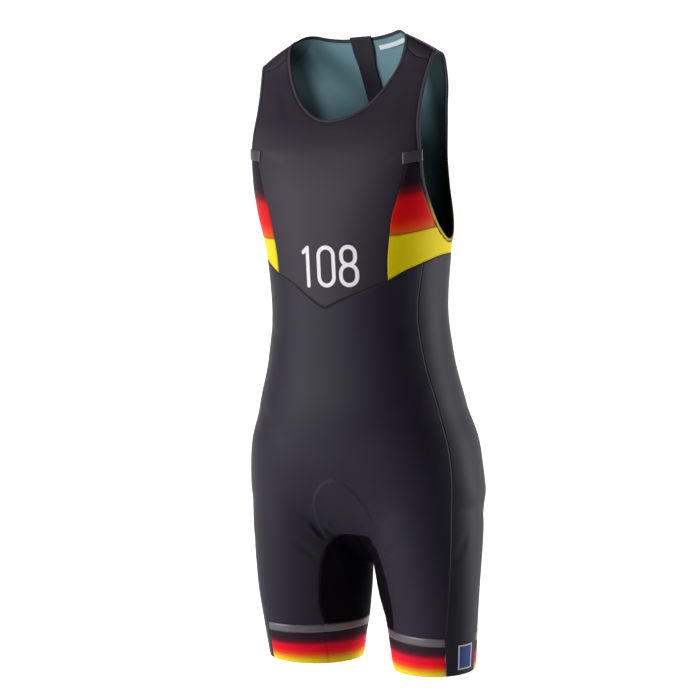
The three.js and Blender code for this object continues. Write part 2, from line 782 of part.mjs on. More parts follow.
const LABEL = { below: 3, height: 7, from: 1, to: 3, steps: 5, gap: 1.2, wall: 1 };
const labelLine = seam(NECK_EDGE, LABEL.steps, { from: LABEL.from, to: LABEL.to });
const neckLabel = surface([0, LABEL.height].map((down) => (
  moved(labelLine, BINDING_WIDTH + LABEL.below + down)
)));

// Seat pad, from the front over the crotch to the back, laid under the panels' own points.
// Its reach is counted in steps of the panels: sideways from the middle and up from the hips.
const PAD = { sideways: 3, upFront: 2, upBack: 3, belowCrotch: 1, gap: 1.2, wall: 5 };

/** The pad's part of a body grid, its top corners cut off. */
function padOnBody(grid, up) {
  const middle = (grid[0].length - 1) / 2;
  const columns = [middle - PAD.sideways, middle + PAD.sideways + 1];
  const rows = grid.slice(0, up + 1).map((row) => row.slice(...columns));
  for (const corner of [0, 2 * PAD.sideways]) rows[up][corner] = rows[up - 1][corner];
  return rows;
}

/** The pad's part of a leg grid, from a little below the crotch up to the hips. */
function padOnLeg(grid) {
  return grid.slice(STEPS.innerDown - PAD.belowCrotch).map((row) => row.slice(-1 - PAD.sideways));
}
const padGrids = [padOnLeg(legFrontGrid), padOnLeg(legBackGrid), innerLegGrid.slice(-1 - PAD.belowCrotch)];
const seatPad = surface(
  padOnBody(bodyFrontGrid, PAD.upFront),
  padOnBody(bodyBackGrid, PAD.upBack),
  ...padGrids,
  ...padGrids.map((grid) => grid.map(otherSide)),
);

// Slider and pull tab of the zip, closed at the neck. They are drawn lying on a level zip, then tilted.
const SLIDER = {
  width: 9,
  length: 12,
  thickness: 2.2,
  bridgeWidth: 2.4,
  bridgeLength: 7.4,
  bridgeWall: 1.2,
  eyeLength: 5,
  eyeHeight: 2.6,
  belowEdge: 12,
  overTape: 0.4,
  corner: 1.5,
  footTaper: 1.6,
  bridgeFoot: 0.5,
  bridgeCorner: 0.8,
};
const PULL = {
  width: 7,
  length: 24,
  thickness: 1.4,
  crossBar: 1.4,
  holeWidth: 3.4,
  holeLength: 5,
  tipWidth: 5,
  tipLength: 2,
  tipCorner: 1.2,
};
const axisHeight = SLIDER.thickness + SLIDER.eyeHeight / 2;

/** A flat shape with straight sides from a list of corners, and a hole of the same kind in one. */
const corners = (places) => places.map(([x, y]) => new THREE.Vector2(x, y));
const outline = (places) => new THREE.Shape(corners(places));
const hole = (places) => new THREE.Path(corners(places));

/** A solid of one outline with a depth, centred on zero across that depth. */
function plate(shape, depth) {
  return new THREE.ExtrudeGeometry(shape, { depth, bevelEnabled: false }).translate(0, 0, -depth / 2);
}

function toManifold(geometry) {
  const bare = geometry.clone();
  bare.deleteAttribute('normal');
  bare.deleteAttribute('uv');
  const merged = mergeVertices(bare, WELD);
  return new wasm.Manifold(new wasm.Mesh({
    numProp: 3,
    vertProperties: merged.attributes.position.array,
    triVerts: Uint32Array.from(merged.index.array),
  }));
}

function fromManifold(body) {
  const mesh = body.getMesh();
  const geometry = new THREE.BufferGeometry();
  geometry.setAttribute('position', new THREE.BufferAttribute(mesh.vertProperties, 3));
  geometry.setIndex(new THREE.BufferAttribute(mesh.triVerts, 1));
  return geometry;
}

/** The slider: a body that tapers to its foot and a bridge with an eye along the zip. */
function sliderGeometry() {
  const side = SLIDER.width / 2;
  const half = SLIDER.length / 2;
  const body = plate(outline([
    [side - SLIDER.footTaper, -half],
    [side, half - SLIDER.corner],
    [side - SLIDER.corner, half],
    [-side + SLIDER.corner, half],
    [-side, half - SLIDER.corner],
    [-side + SLIDER.footTaper, -half],
  ]), SLIDER.thickness).translate(0, 0, SLIDER.thickness / 2);
  const reach = SLIDER.bridgeLength / 2;
  const rise = SLIDER.eyeHeight + SLIDER.bridgeWall;
  const arch = outline([
    [-reach, -SLIDER.bridgeFoot],
    [reach, -SLIDER.bridgeFoot],
    [reach, rise - SLIDER.bridgeCorner],
    [reach - SLIDER.bridgeCorner, rise],
    [-reach + SLIDER.bridgeCorner, rise],
    [-reach, rise - SLIDER.bridgeCorner],
  ]);
  const eye = SLIDER.eyeLength / 2;
  arch.holes.push(hole([[-eye, 0], [-eye, SLIDER.eyeHeight], [eye, SLIDER.eyeHeight], [eye, 0]]));
  const bridge = plate(arch, SLIDER.bridgeWidth)
    .rotateX(Math.PI / 2)
    .rotateZ(Math.PI / 2)
    .translate(0, 0, SLIDER.thickness);
  return fromManifold(toManifold(body).add(toManifold(bridge)));
}

/** The pull tab about its cross bar, hanging towards the zip's foot. */
function pullGeometry() {
  const top = PULL.crossBar / 2;
  const foot = top - PULL.length;
  const side = PULL.width / 2;
  const tip = PULL.tipWidth / 2;
  const shape = outline([
    [-side, top],
    [-tip, foot + PULL.tipLength],
    [-tip + PULL.tipCorner, foot],
    [tip - PULL.tipCorner, foot],
    [tip, foot + PULL.tipLength],
    [side, top],
  ]);
  const halfHole = PULL.holeWidth / 2;
  const low = -top - PULL.holeLength;
  shape.holes.push(hole([[-halfHole, -top], [halfHole, -top], [halfHole, low], [-halfHole, low]]));
  return plate(shape, PULL.thickness);
}

// Place of the slider: on the zip a little below the neck edge, leaning with the cloth
const sliderSpot = onFormUpright(new THREE.Vector3(0, neckEdge[0].y, neckEdge[0].z - SLIDER.belowEdge));
const sliderNormal = outward(sliderSpot);
const sliderPlace = new THREE.Group();
sliderPlace.position.copy(sliderSpot).addScaledVector(sliderNormal, SLIDER.overTape);
sliderPlace.quaternion.setFromRotationMatrix(new THREE.Matrix4().makeBasis(
  new THREE.Vector3(-1, 0, 0),
  new THREE.Vector3(0, sliderNormal.z, -sliderNormal.y).multiplyScalar(-1),
  sliderNormal,
));

// Colours from the suit: charcoal upper, blue-black lower, the flag's colours at the side, grey tapes
const finish = (color, roughness, metalness = 0) => (
  new THREE.MeshStandardMaterial({ color, roughness, metalness })
);
const FINISHES = {
  upper: () => finish(0x2b2528, 0.6),
  lower: () => finish(0x1a1822, 0.55),
  side: () => finish(0xd9a416, 0.55),
  band: () => finish(0xc21a17, 0.6),
  reflective: () => finish(0x8e8b90, 0.4),
  binding: () => finish(0x17151a, 0.65),
  zipTape: () => finish(0x0e0e10, 0.8),
  metal: () => finish(0x3a3b3e, 0.35, 0.8),
  badge: () => finish(0x274b9c, 0.5),
  label: () => finish(0xdfe2e3, 0.7),
  pad: () => finish(0x22222a, 0.9),
};

const suit = new THREE.Group();

function add(name, geometry, material, parent = suit) {
  const mesh = new THREE.Mesh(geometry, material);
  mesh.name = name;
  parent.add(mesh);
}

/** Adds a piece of the wearer's left half and its mirror image. */
function addPair(name, half, material, options) {
  add(`${name}_left`, wall(half, options), material());
  add(`${name}_right`, wall(mirrored(half), options), material());
}

// Cloth panels
add('front_upper', wall(frontUpper), FINISHES.upper());
add('front_lower', wall(frontLower), FINISHES.lower());
add('back_lower', wall(backLower), FINISHES.lower());
addPair('back_upper', backUpper, FINISHES.upper);
addPair('shoulder_yoke', yoke, FINISHES.upper);
addPair('side_upper', sideUpper, FINISHES.side);
addPair('side_lower', sideLower, FINISHES.lower);
addPair('inner_leg', innerLeg, FINISHES.lower);

// Leg trims: a reflective tape above a band on each stretch of the leg
for (const [stretch, [from, to, steps]] of Object.entries(trimStretches)) {
  const tapeWall = { outer: TAPE_PROUD };
  addPair(`leg_tape_${stretch}`, surface(trimGrid(from, to, 0, 1, steps)), FINISHES.reflective, tapeWall);
  addPair(`leg_band_${stretch}`, surface(trimGrid(from, to, 1, HEM_ROW, steps)), FINISHES.band);
}

// Edge bindings, a little thicker than the cloth on both of its faces
const bindingWall = { inner: -WALL - BINDING_PROUD, outer: BINDING_PROUD, margin: BINDING_MARGIN };
add('neck_binding', wall(neckBinding, bindingWall), FINISHES.binding());
addPair('armhole_binding', armholeBinding, FINISHES.binding, bindingWall);

// Zip with its inner guard, slider and pull tab
addPair('zip_tape', zipTape, FINISHES.zipTape, { inner: -ZIP_TAPE_WALL });
const guardOuter = -WALL - BINDING_PROUD - LAID_ON_GAP;
add('zip_guard', wall(zipGuard, { outer: guardOuter, inner: guardOuter - GUARD_WALL }), FINISHES.zipTape());
suit.add(sliderPlace);
add('zip_slider', sliderGeometry(), FINISHES.metal(), sliderPlace);
const pullPlace = new THREE.Group();
pullPlace.position.set(0, 0, axisHeight);
sliderPlace.add(pullPlace);
add('zip_pull_tab', pullGeometry(), FINISHES.metal(), pullPlace);

// Small pieces laid on the cloth
const tabWall = { inner: TAB.gap, outer: TAB.gap + TAB.wall, margin: 0 };
addPair('chest_tab', chestTab, FINISHES.reflective, tabWall);
const badgeWall = { inner: BADGE.gap, outer: BADGE.gap + BADGE.wall, margin: 0 };
add('leg_badge', wall(badge, badgeWall), FINISHES.badge());
const labelOuter = -WALL - LABEL.gap;
const labelWall = { outer: labelOuter, inner: labelOuter - LABEL.wall, margin: 0 };
add('neck_label', wall(neckLabel, labelWall), FINISHES.label());
const padOuter = -WALL - PAD.gap;
add('seat_pad', wall(seatPad, { outer: padOuter, inner: padOuter - PAD.wall, margin: 0 }), FINISHES.pad());

export default suit;
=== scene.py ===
"""Looks of a sleeveless triathlon suit in its worn shape, empty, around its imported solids.

The tables hold millimetres and the meshes hold metres. The front faces -Y, the wearer's left is +X,
and the origin is midway between the straps.
"""

import logging
import math
from collections.abc import Callable, Iterable, Sequence
from dataclasses import dataclass, field
from enum import Enum

import bmesh
import bpy
import numpy as np
from mathutils import Matrix, Vector, kdtree


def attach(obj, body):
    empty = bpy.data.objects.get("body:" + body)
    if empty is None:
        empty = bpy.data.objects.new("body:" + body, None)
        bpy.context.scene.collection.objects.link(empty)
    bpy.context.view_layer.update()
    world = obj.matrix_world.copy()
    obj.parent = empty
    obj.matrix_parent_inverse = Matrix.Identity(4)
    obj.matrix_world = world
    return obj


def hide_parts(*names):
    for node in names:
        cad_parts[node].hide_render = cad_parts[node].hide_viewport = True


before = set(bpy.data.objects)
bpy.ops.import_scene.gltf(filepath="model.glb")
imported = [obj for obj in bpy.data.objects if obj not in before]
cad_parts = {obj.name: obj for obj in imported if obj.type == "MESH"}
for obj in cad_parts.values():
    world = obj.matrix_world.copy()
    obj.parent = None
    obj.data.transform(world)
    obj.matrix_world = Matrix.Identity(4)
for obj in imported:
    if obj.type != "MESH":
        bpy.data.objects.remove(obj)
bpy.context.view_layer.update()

log = logging.getLogger("suit")
Points = np.ndarray
Values = np.ndarray
MM = 0.001


# ---------------------------------------------------------------- the worn form

class Hold(Enum):
    """What a point keeps while it is walked to the form."""

    NOTHING = (1.0, 1.0, 1.0)
    LEVEL = (1.0, 1.0, 0.0)
    UPRIGHT = (0.0, 1.0, 1.0)


class ColumnCurves:
    """Monotone cubic curves through one table, one for each column after the first."""

    def __init__(self, table: Sequence[Sequence[float]]) -> None:
        """Prepares the curves.

        Args:
            table: rows that start with a height.
        """
        rows = np.array(sorted(table), float)
        self.z = rows[:, 0]
        self.values = rows[:, 1:]
        steps = np.diff(self.values, axis=0) / np.diff(self.z)[:, None]
        before, after = np.diff(self.z)[:-1, None], np.diff(self.z)[1:, None]
        first, second = 2 * after + before, after + 2 * before
        same = steps[:-1] * steps[1:] > 0
        safe = np.where(same, steps[:-1], 1), np.where(same, steps[1:], 1)
        inner = np.where(same, (first + second) / (first / safe[0] + second / safe[1]), 0)
        self.slopes = np.concatenate([steps[:1], inner, steps[-1:]])

    def at(self, height: Values) -> list[Values]:
        """The columns at given heights.

        Args:
            height: heights in millimetres.

        Returns:
            One array for each column.
        """
        h = np.clip(height, self.z[0], self.z[-1])
        i = np.clip(np.searchsorted(self.z, h) - 1, 0, len(self.z) - 2)
        span = (self.z[i + 1] - self.z[i])[..., None]
        t = (h - self.z[i])[..., None] / span
        t2, t3 = t * t, t * t * t
        mixed = self.values[i] * (2 * t3 - 3 * t2 + 1) + self.values[i + 1] * (3 * t2 - 2 * t3)
        mixed += self.slopes[i] * span * (t3 - 2 * t2 + t) + self.slopes[i + 1] * span * (t3 - t2)
        return [mixed[..., c] for c in range(mixed.shape[-1])]


def smoothstep(value: Values, low: float, high: float) -> Values:
    """A smooth step from 0 at low to 1 at high."""
    t = np.clip((value - low) / (high - low), 0, 1)
    return t * t * (3 - 2 * t)


def unit(vectors: Points) -> Points:
    """Vectors at length 1."""
    return vectors / np.maximum(np.linalg.norm(vectors, axis=-1, keepdims=True), 1e-12)


@dataclass
class WornForm:
    """The worn shape as a field, below zero inside it and above zero outside it."""

    # z, half width, depth to the front, depth to the back, middle in y, roundness
    torso: tuple = (
        (80, 260, 6, 12, 6, 3.2),
        (20, 250, 16, 32, 4, 3.4),
        (-30, 215, 24, 50, 4, 3.6),
        (-60, 188, 37, 64, 4, 3.5),
        (-90, 172, 53, 77, 4, 3.3),
        (-125, 162, 74, 87, 5, 3.1),
        (-160, 156, 88, 93, 6, 2.9),
        (-230, 150, 102, 101, 8, 2.5),
        (-300, 137, 104, 98, 8, 2.3),
        (-380, 133, 101, 88, 5, 2.2),
        (-450, 141, 100, 96, 0, 2.2),
        (-520, 158, 102, 114, -5, 2.2),
        (-590, 172, 98, 121, -4, 2.2),
        (-640, 172, 88, 114, 0, 2.2),
        (-690, 120, 58, 84, 6, 2.2),
        (-722, 30, 24, 34, 10, 2.2),
    )
    # z, middle in x, middle in y, half long axis, half short axis, turn in degrees
    leg: tuple = (
        (-430, 62, 0, 20, 30, 0),
        (-510, 74, -1, 62, 62, 6),
        (-570, 82, -1, 85, 83, 12),
        (-640, 89, 1, 91, 85, 16),
        (-710, 94, 2, 89, 76, 22),
        (-780, 95, 2, 86, 65, 26),
        (-850, 97, 4, 78, 58, 30),
        (-905, 98, 4, 70, 55, 30),
    )
    chest_z: float = -230
    shoulder_power: float = 5
    neck_height: float = 48
    neck_reach: float = 85
    neck_drop: float = 38
    neck_power: float = 1.6
    shoulder_slope: float = 0.42
    crotch_blend: float = 28
    hip_blend: float = 20
    blend_reach: float = 75
    between_legs_blend: float = 28
    torso_radius: float = 110
    leg_radius: float = 75
    end_slope: float = 1.2
    probe: float = 0.05
    walk_moves: int = 14
    longest_move: float = 12
    at_rest: float = 1e-4
    # how far the wearer's right seams are lifted and moved inwards
    right_lift: float = 13
    right_inwards: float = 7

    def __post_init__(self) -> None:
        """Prepares the curves of both tables."""
        self.torso_at = ColumnCurves(self.torso)
        self.leg_at = ColumnCurves(self.leg)

    def _torso(self, x: Values, y: Values, z: Values) -> Values:
        """The field of the upper body."""
        half_width, front, back, centre_y, power = self.torso_at.at(z)
        reach = np.abs(x)
        ridge = self.neck_height - self.neck_drop * np.minimum(reach / self.neck_reach, 1) ** self.neck_power
        ridge -= np.maximum(reach - self.neck_reach, 0) * self.shoulder_slope
        rise = np.maximum((z - self.chest_z) / (ridge - self.chest_z), 0) ** self.shoulder_power
        depth = np.where(y < centre_y, front, back)
        total = np.abs(x / half_width) ** power + np.abs((y - centre_y) / depth) ** power + rise
        share = np.maximum(total, 1e-9) ** (1 / power) - 1
        below = np.maximum(self.torso[-1][0] - z, 0) * self.end_slope
        return share * np.minimum(half_width, self.torso_radius) + below

    def _leg(self, x: Values, y: Values, z: Values) -> Values:
        """The field of the wearer's left leg."""
        centre_x, centre_y, half_long, half_short, turn = self.leg_at.at(z)
        angle = np.radians(turn)
        u = -(x - centre_x) * np.cos(angle) + (y - centre_y) * np.sin(angle)
        v = (x - centre_x) * np.sin(angle) + (y - centre_y) * np.cos(angle)
        above = np.maximum(z - self.leg[0][0], 0) * self.end_slope
        return (np.hypot(u / half_long, v / half_short) - 1) * self.leg_radius + above

    @staticmethod
    def _union(a: Values, b: Values, size: Values | float) -> Values:
        """Union of two fields with a rounded hollow between them."""
        h = np.clip(0.5 + 0.5 * (b - a) / size, 0, 1)
        return b * (1 - h) + a * h - size * h * (1 - h)

    def value(self, p: Points) -> Values:
        """The field at points in millimetres."""
        x, y, z = p[..., 0], p[..., 1], p[..., 2]
        legs = self._union(self._leg(x, y, z), self._leg(-x, y, z), self.between_legs_blend)
        narrow = 1 + (x / self.blend_reach) ** 4
        blend = self.hip_blend + (self.crotch_blend - self.hip_blend) / narrow
        return self._union(self._torso(x, y, z), legs, blend)

    def gradient(self, p: Points) -> Points:
        """The field's slope at points."""
        parts = []
        for axis in range(3):
            step = np.zeros(3)
            step[axis] = self.probe
            parts.append(self.value(p + step) - self.value(p - step))
        return np.stack(parts, -1) / (2 * self.probe)

    def outward(self, p: Points) -> Points:
        """Outward directions of the form at points."""
        return unit(self.gradient(p))

    def lay(self, p: Points, hold: Hold = Hold.NOTHING) -> Points:
        """Points walked to the form down the field's slope.

        Args:
            p: points in millimetres.
            hold: what each point keeps on the way.

        Returns:
            The points on the form.
        """
        q = np.array(p, float)
        for _ in range(self.walk_moves):
            g = self.gradient(q) * np.array(hold.value)
            move = self.value(q) / np.maximum((g * g).sum(-1), 1e-6)
            move = np.clip(move, -self.longest_move, self.longest_move)
            q -= move[..., None] * g
            if np.abs(move).max() < self.at_rest:
                break
        return q

    def on_right(self, p: Points) -> Points:
        """The wearer's right points for left ones: there the seams sit a little higher and nearer the middle."""
        waist = smoothstep(p[..., 2], -450, -340)
        low = 1 - smoothstep(p[..., 2], -150, -50)
        across = smoothstep(p[..., 0], 0, 80)
        lift = self.right_lift * waist * low * across
        inwards = self.right_inwards * waist * across * (1 - smoothstep(p[..., 0], 80, 140))
        q = p * np.array([-1.0, 1.0, 1.0])
        q[..., 0] += inwards
        q[..., 2] += lift
        moved = lift + inwards > 0
        if moved.any():
            q[moved] = self.lay(q[moved])
        return q


FORM = WornForm()


# ---------------------------------------------------------------- lines and grids on the form

def equal_steps(line: Points, steps: int) -> Points:
    """Points at equal steps along a dense line.

    Args:
        line: the dense line.
        steps: how many steps.

    Returns:
        steps + 1 points.
    """
    reach = np.concatenate([[0], np.cumsum(np.linalg.norm(np.diff(line, axis=0), axis=1))])
    target = np.linspace(0, reach[-1], steps + 1)
    return np.stack([np.interp(target, reach, line[:, k]) for k in range(3)], -1)


def spline(points: Points, places: Values, closed: bool) -> Points:
    """A curve through points with half tension, at places counted in points.

    Args:
        points: the points that it passes.
        places: from 0 to the number of spans.
        closed: whether it returns to its start.

    Returns:
        One point for each place.
    """
    n = len(points)
    spans = n if closed else n - 1
    i = np.minimum(np.floor(places).astype(int), spans - 1)
    t = (places - i)[:, None]
    if closed:
        a, b, c, d = (points[(i + k) % n] for k in (-1, 0, 1, 2))
    else:
        padded = np.concatenate([[2 * points[0] - points[1]], points, [2 * points[-1] - points[-2]]])
        a, b, c, d = (padded[i + k] for k in range(4))
    slope_b, slope_c = (c - a) / 2, (d - b) / 2
    t2, t3 = t * t, t * t * t
    curve = b * (2 * t3 - 3 * t2 + 1) + c * (3 * t2 - 2 * t3)
    return curve + slope_b * (t3 - 2 * t2 + t) + slope_c * (t3 - t2)


def seam(rows: Sequence[Sequence[float]], steps: int, hold: Hold = Hold.NOTHING, closed: bool = False,
         start: int = 0, stop: int | None = None) -> Points:
    """A smooth line through some of a table's rows, laid on the form in equal steps.

    Args:
        rows: x, y, z of each point that it passes.
        steps: how many steps.
        hold: what points keep while they are laid.
        closed: whether the table is a loop.
        start: the first row of the stretch.
        stop: the last row of the stretch.

    Returns:
        steps + 1 points.
    """
    laid = FORM.lay(np.array(rows, float), hold)
    stop = len(rows) - 1 if stop is None else stop
    places = np.linspace(start, stop, 12 * (stop - start) + 1)
    dense = FORM.lay(spline(laid, places, closed), hold)
    return FORM.lay(equal_steps(dense, steps), hold)


def seam_between(first: Points, rows: Sequence[Sequence[float]], last: Points, steps: int,
                 hold: Hold = Hold.NOTHING) -> Points:
    """A seam between two given points by way of a few rows."""
    line = seam([list(first), *rows, list(last)], steps, hold)
    line[0], line[-1] = first, last
    return line


def moved(line: Points, width: float) -> Points:
    """A line moved sideways in the cloth by a width."""
    along = np.empty_like(line)
    along[1:-1] = line[2:] - line[:-2]
    along[0], along[-1] = line[1] - line[0], line[-1] - line[-2]
    return FORM.lay(line + width * unit(np.cross(FORM.outward(line), unit(along))))


def joined(*lines: Points) -> Points:
    """Lines joined end to end."""
    return np.concatenate([line if i == 0 else line[1:] for i, line in enumerate(lines)])


def across(line: Points) -> Points:
    """A left line continued over the middle by its right image."""
    return joined(line, FORM.on_right(line)[::-1])


def patch(bottom: Points, top: Points, left: Points, right: Points) -> Points:
    """A grid of points between four lines, laid on the form.

    Args:
        bottom: line from left to right.
        top: line from left to right.
        left: line upwards.
        right: line upwards.

    Returns:
        Rows of points from the bottom up.
    """
    u = np.linspace(0, 1, len(bottom))[None, :, None]
    v = np.linspace(0, 1, len(left))[:, None, None]
    grid = (1 - v) * bottom[None] + v * top[None] + (1 - u) * left[:, None] + u * right[:, None]
    grid -= (1 - u) * (1 - v) * bottom[0] + u * (1 - v) * bottom[-1] + (1 - u) * v * top[0] + u * v * top[-1]
    grid[0], grid[-1], grid[1:-1, 0], grid[1:-1, -1] = bottom, top, left[1:-1], right[1:-1]
    grid[1:-1, 1:-1] = FORM.lay(grid[1:-1, 1:-1])
    for _ in range(3):
        for _ in range(12):
            grid[1:-1, 1:-1] = (grid[:-2, 1:-1] + grid[2:, 1:-1] + grid[1:-1, :-2] + grid[1:-1, 2:]) / 4
        grid[1:-1, 1:-1] = FORM.lay(grid[1:-1, 1:-1])
    return grid


@dataclass
class Pattern:
    """The suit's cut: every seam line and the grids of points of each cloth piece."""

    fine: int = 8
    band_fine: int = 22
    binding_width: float = 4.8
    band_top: float = -842
    tape_height: float = 12
    hem_z: float = -903
    hem_rise: float = 6
    zip_half: float = 6
    zip_foot: float = -372
    neck_edge_rows: tuple = (
        (6, 40, 10), (30, 37, 10), (54, 29, 11), (72, 18, 11), (84, 6, 6), (91, -1, -4), (93, -6, -18),
        (91, -11, -33), (86, -19, -48), (79, -28, -61), (70, -38, -74), (56, -50, -88.5), (38, -59, -98.5),
        (19, -65, -103.5), (0, -67, -104.5),
    )
    armhole_rows: tuple = (
        (136, 38, -36), (145, 10, -17), (140, -12, -33), (136, -27, -62), (135, -40, -90), (136, -50, -115),
        (138, -54, -140), (138, -51, -173), (137, -46, -203), (140, -34, -236), (145, -12, -266),
        (142, 26, -284), (128, 62, -266), (114, 84, -224), (111, 88, -182), (114, 84, -138), (120, 72, -98),
        (129, 54, -64),
    )
    chest_rows: tuple = (
        (118, -62, -176), (114, -66, -195), (107, -70, -220), (99, -74, -248), (94, -74, -277),
        (90, -74, -306), (88, -72, -335),
    )
    rib_front_rows: tuple = ((88, -72, -335), (108, -58, -322), (128, -38, -313))
    rib_side_rows: tuple = ((128, -38, -313), (138, -14, -307), (139, 14, -304), (129, 46, -303))
    rib_back_rows: tuple = ((129, 46, -303), (116, 68, -308), (101, 84, -318))
    point_front_rows: tuple = ((88, -72, -335), (65, -84, -345), (43, -91, -354), (21, -96, -363), (0, -98, -372))
    point_back_rows: tuple = ((101, 84, -318), (70, 92, -334), (38, 96, -354), (6, 97, -372))
    side_front_rows: tuple = (
        (128, -38, -313), (120, -46, -380), (127, -47, -450), (145, -46, -520), (157, -46, -590), (161, -48, -640),
    )
    leg_front_rows: tuple = ((161, -48, -640), (160, -52, -710), (156, -56, -780), (146, -54, -842))
    side_back_rows: tuple = (
        (129, 46, -303), (121, 42, -380), (129, 38, -450), (150, 30, -520), (168, 20, -590), (175, 12, -640),
    )
    leg_back_rows: tuple = ((175, 12, -640), (178, 4, -710), (175, -2, -780), (166, -6, -842))
    hip_front_rows: tuple = ((161, -48, -640), (120, -80, -641), (62, -92, -643), (0, -90, -645))
    hip_back_rows: tuple = ((175, 12, -640), (150, 70, -641), (84, 110, -643), (0, 118, -645))
    centre_front_rows: tuple = ((0, -90, -645), (0, -70, -682), (0, -42, -707))
    centre_back_rows: tuple = ((0, 118, -645), (0, 92, -684), (0, 52, -707))
    inner_front_rows: tuple = (
        (0, -42, -707), (18, -46, -708), (36, -54, -718), (48, -55, -742), (57, -52, -780), (60, -48, -812),
        (57, -40, -842),
    )
    inner_back_rows: tuple = (
        (0, 52, -707), (20, 56, -716), (38, 62, -730), (47, 62, -752), (51, 58, -782), (52, 52, -812),
        (51, 46, -842),
    )
    crotch_rows: tuple = ((0, -42, -707), (0, -24, -726), (0, 5, -736), (0, 32, -726), (0, 52, -707))
    hem_side_front: tuple = (143, -48)
    hem_inner_front: tuple = (56, -34)
    hem_inner_back: tuple = (50, 42)
    hem_side_back: tuple = (163, -4)
    grids: dict[str, list[Points]] = field(default_factory=dict)
    lines: dict[str, Points] = field(default_factory=dict)

    def leg_point(self, angle: Values, z: float | Values) -> Points:
        """Points of the left leg at angles about its middle line, at one height each."""
        heights = np.broadcast_to(np.asarray(z, float), np.shape(angle))
        middle = np.stack([*FORM.leg_at.at(heights)[:2], heights], -1)
        ray = np.stack([np.cos(angle), np.sin(angle), np.zeros_like(heights)], -1)
        reach = np.full(heights.shape, 60.0)
        for _ in range(FORM.walk_moves):
            p = middle + ray * reach[..., None]
            slope = np.maximum((FORM.gradient(p) * ray).sum(-1), 0.3)
            reach -= np.clip(FORM.value(p) / slope, -FORM.longest_move, FORM.longest_move)
        return middle + ray * reach[..., None]

    @staticmethod
    def leg_angle(p: Points, z: float | None = None) -> Values:
        """Angles of points about the left leg's middle line."""
        centre_x, centre_y, *_ = FORM.leg_at.at(p[..., 2] if z is None else np.full(p.shape[:-1], z))
        return np.arctan2(p[..., 1] - centre_y, p[..., 0] - centre_x)

    def on_hem(self, p: Points, share: Values) -> Points:
        """Points near the hem lifted to its slope, in full where the share is 1."""
        rise = self.hem_rise * (0.5 + 0.5 * np.cos(self.leg_angle(p, self.hem_z)))
        q = p.copy()
        q[..., 2] += rise * share
        return FORM.lay(q, Hold.LEVEL)

    def leg_line(self, first: Points, last: Points, steps: int) -> Points:
        """A level line round the leg from one point to another, front to inside to back."""
        start, end = self.leg_angle(first), self.leg_angle(last)
        end = end - 2 * math.pi if end > start else end
        share = np.linspace(0, 1, steps + 1)
        line = self.leg_point(start + (end - start) * share, first[2] + (last[2] - first[2]) * share)
        line[0], line[-1] = first, last
        return line

    def trim_seam(self, top: Points, corner: Sequence[float], heights: Values) -> Points:
        """An upright seam through the leg's trims at given heights, from the band's top to the hem."""
        share = ((heights - self.band_top) / (self.hem_z - self.band_top))[:, None]
        flat = top[None, :2] + (np.array(corner) - top[:2])[None] * share
        p = FORM.lay(np.concatenate([flat, heights[:, None]], 1), Hold.LEVEL)
        return self.on_hem(p, np.clip(share[:, 0], 0, 1) ** 3)

    def make(self) -> None:
        """Works out every line and grid."""
        f = self.fine
        lines = self.lines
        neck_edge = joined(
            seam(self.neck_edge_rows, 4 * f, start=0, stop=3),
            seam(self.neck_edge_rows, 5 * f, start=3, stop=6),
            seam(self.neck_edge_rows, 7 * f, start=6),
        )
        neck_seam = moved(neck_edge, self.binding_width)
        for line in (neck_edge, neck_seam):
            line[0, 0], line[-1, 0] = self.zip_half, 0
        neck_back, neck_yoke, neck_front = neck_seam[:4 * f + 1], neck_seam[4 * f:9 * f + 1], neck_seam[9 * f:]

        stretches = ((0, 2, 5), (2, 7, 6), (7, 13, 9), (13, 18, 8))
        arm_edge = joined(*(seam(self.armhole_rows, n * f, closed=True, start=a, stop=b) for a, b, n in stretches))
        arm_edge = arm_edge[:-1]
        loop = np.concatenate([arm_edge[-1:], arm_edge, arm_edge[:1]])
        arm_seam = moved(loop, -self.binding_width)[1:-1]
        ring = np.concatenate([arm_seam, arm_seam[:1]])
        arm_yoke, arm_front = ring[:5 * f + 1], ring[5 * f:11 * f + 1]
        arm_low, arm_back = ring[11 * f:20 * f + 1], ring[20 * f:]

        yoke_front = seam_between(neck_front[0], [(116, -12, -28)], arm_front[0], 3 * f)
        yoke_back = seam_between(neck_yoke[0], [(108, 30, -20)], arm_yoke[0], 3 * f)
        chest = seam(self.chest_rows, 8 * f)
        tab = seam_between(chest[0], [], arm_low[0], 3 * f)
        rib_front, rib_side = seam(self.rib_front_rows, 4 * f), seam(self.rib_side_rows, 5 * f)
        rib_back = seam(self.rib_back_rows, 3 * f)
        rib = joined(rib_front, rib_side, rib_back)
        point_front = seam(self.point_front_rows, 7 * f)
        point_back = seam(self.point_back_rows, 7 * f)
        point_back[-1, 0] = self.zip_half
        back_seam = seam_between(arm_back[0], [(108, 86, -270)], rib[-1], 8 * f)
        zip_rows = [(self.zip_half, 96, -300), (self.zip_half, 104, -230), (self.zip_half, 96, -160),
                    (self.zip_half, 74, -80)]
        zip_edge = seam_between(point_back[-1], zip_rows, neck_back[0], 16 * f, Hold.UPRIGHT)
        chest_line = seam_between(chest[0], [(60, -80, -172), (0, -84, -170), (-60, -80, -172)],
                                  FORM.on_right(chest[:1])[0], 14 * f)
        side_front, side_back = seam(self.side_front_rows, 14 * f), seam(self.side_back_rows, 14 * f)
        leg_front, leg_back = seam(self.leg_front_rows, 11 * f), seam(self.leg_back_rows, 11 * f)
        centre_front = seam(self.centre_front_rows, 5 * f, Hold.UPRIGHT)
        centre_back = seam(self.centre_back_rows, 5 * f, Hold.UPRIGHT)
        inner_front, inner_back = seam(self.inner_front_rows, 6 * f), seam(self.inner_back_rows, 6 * f)
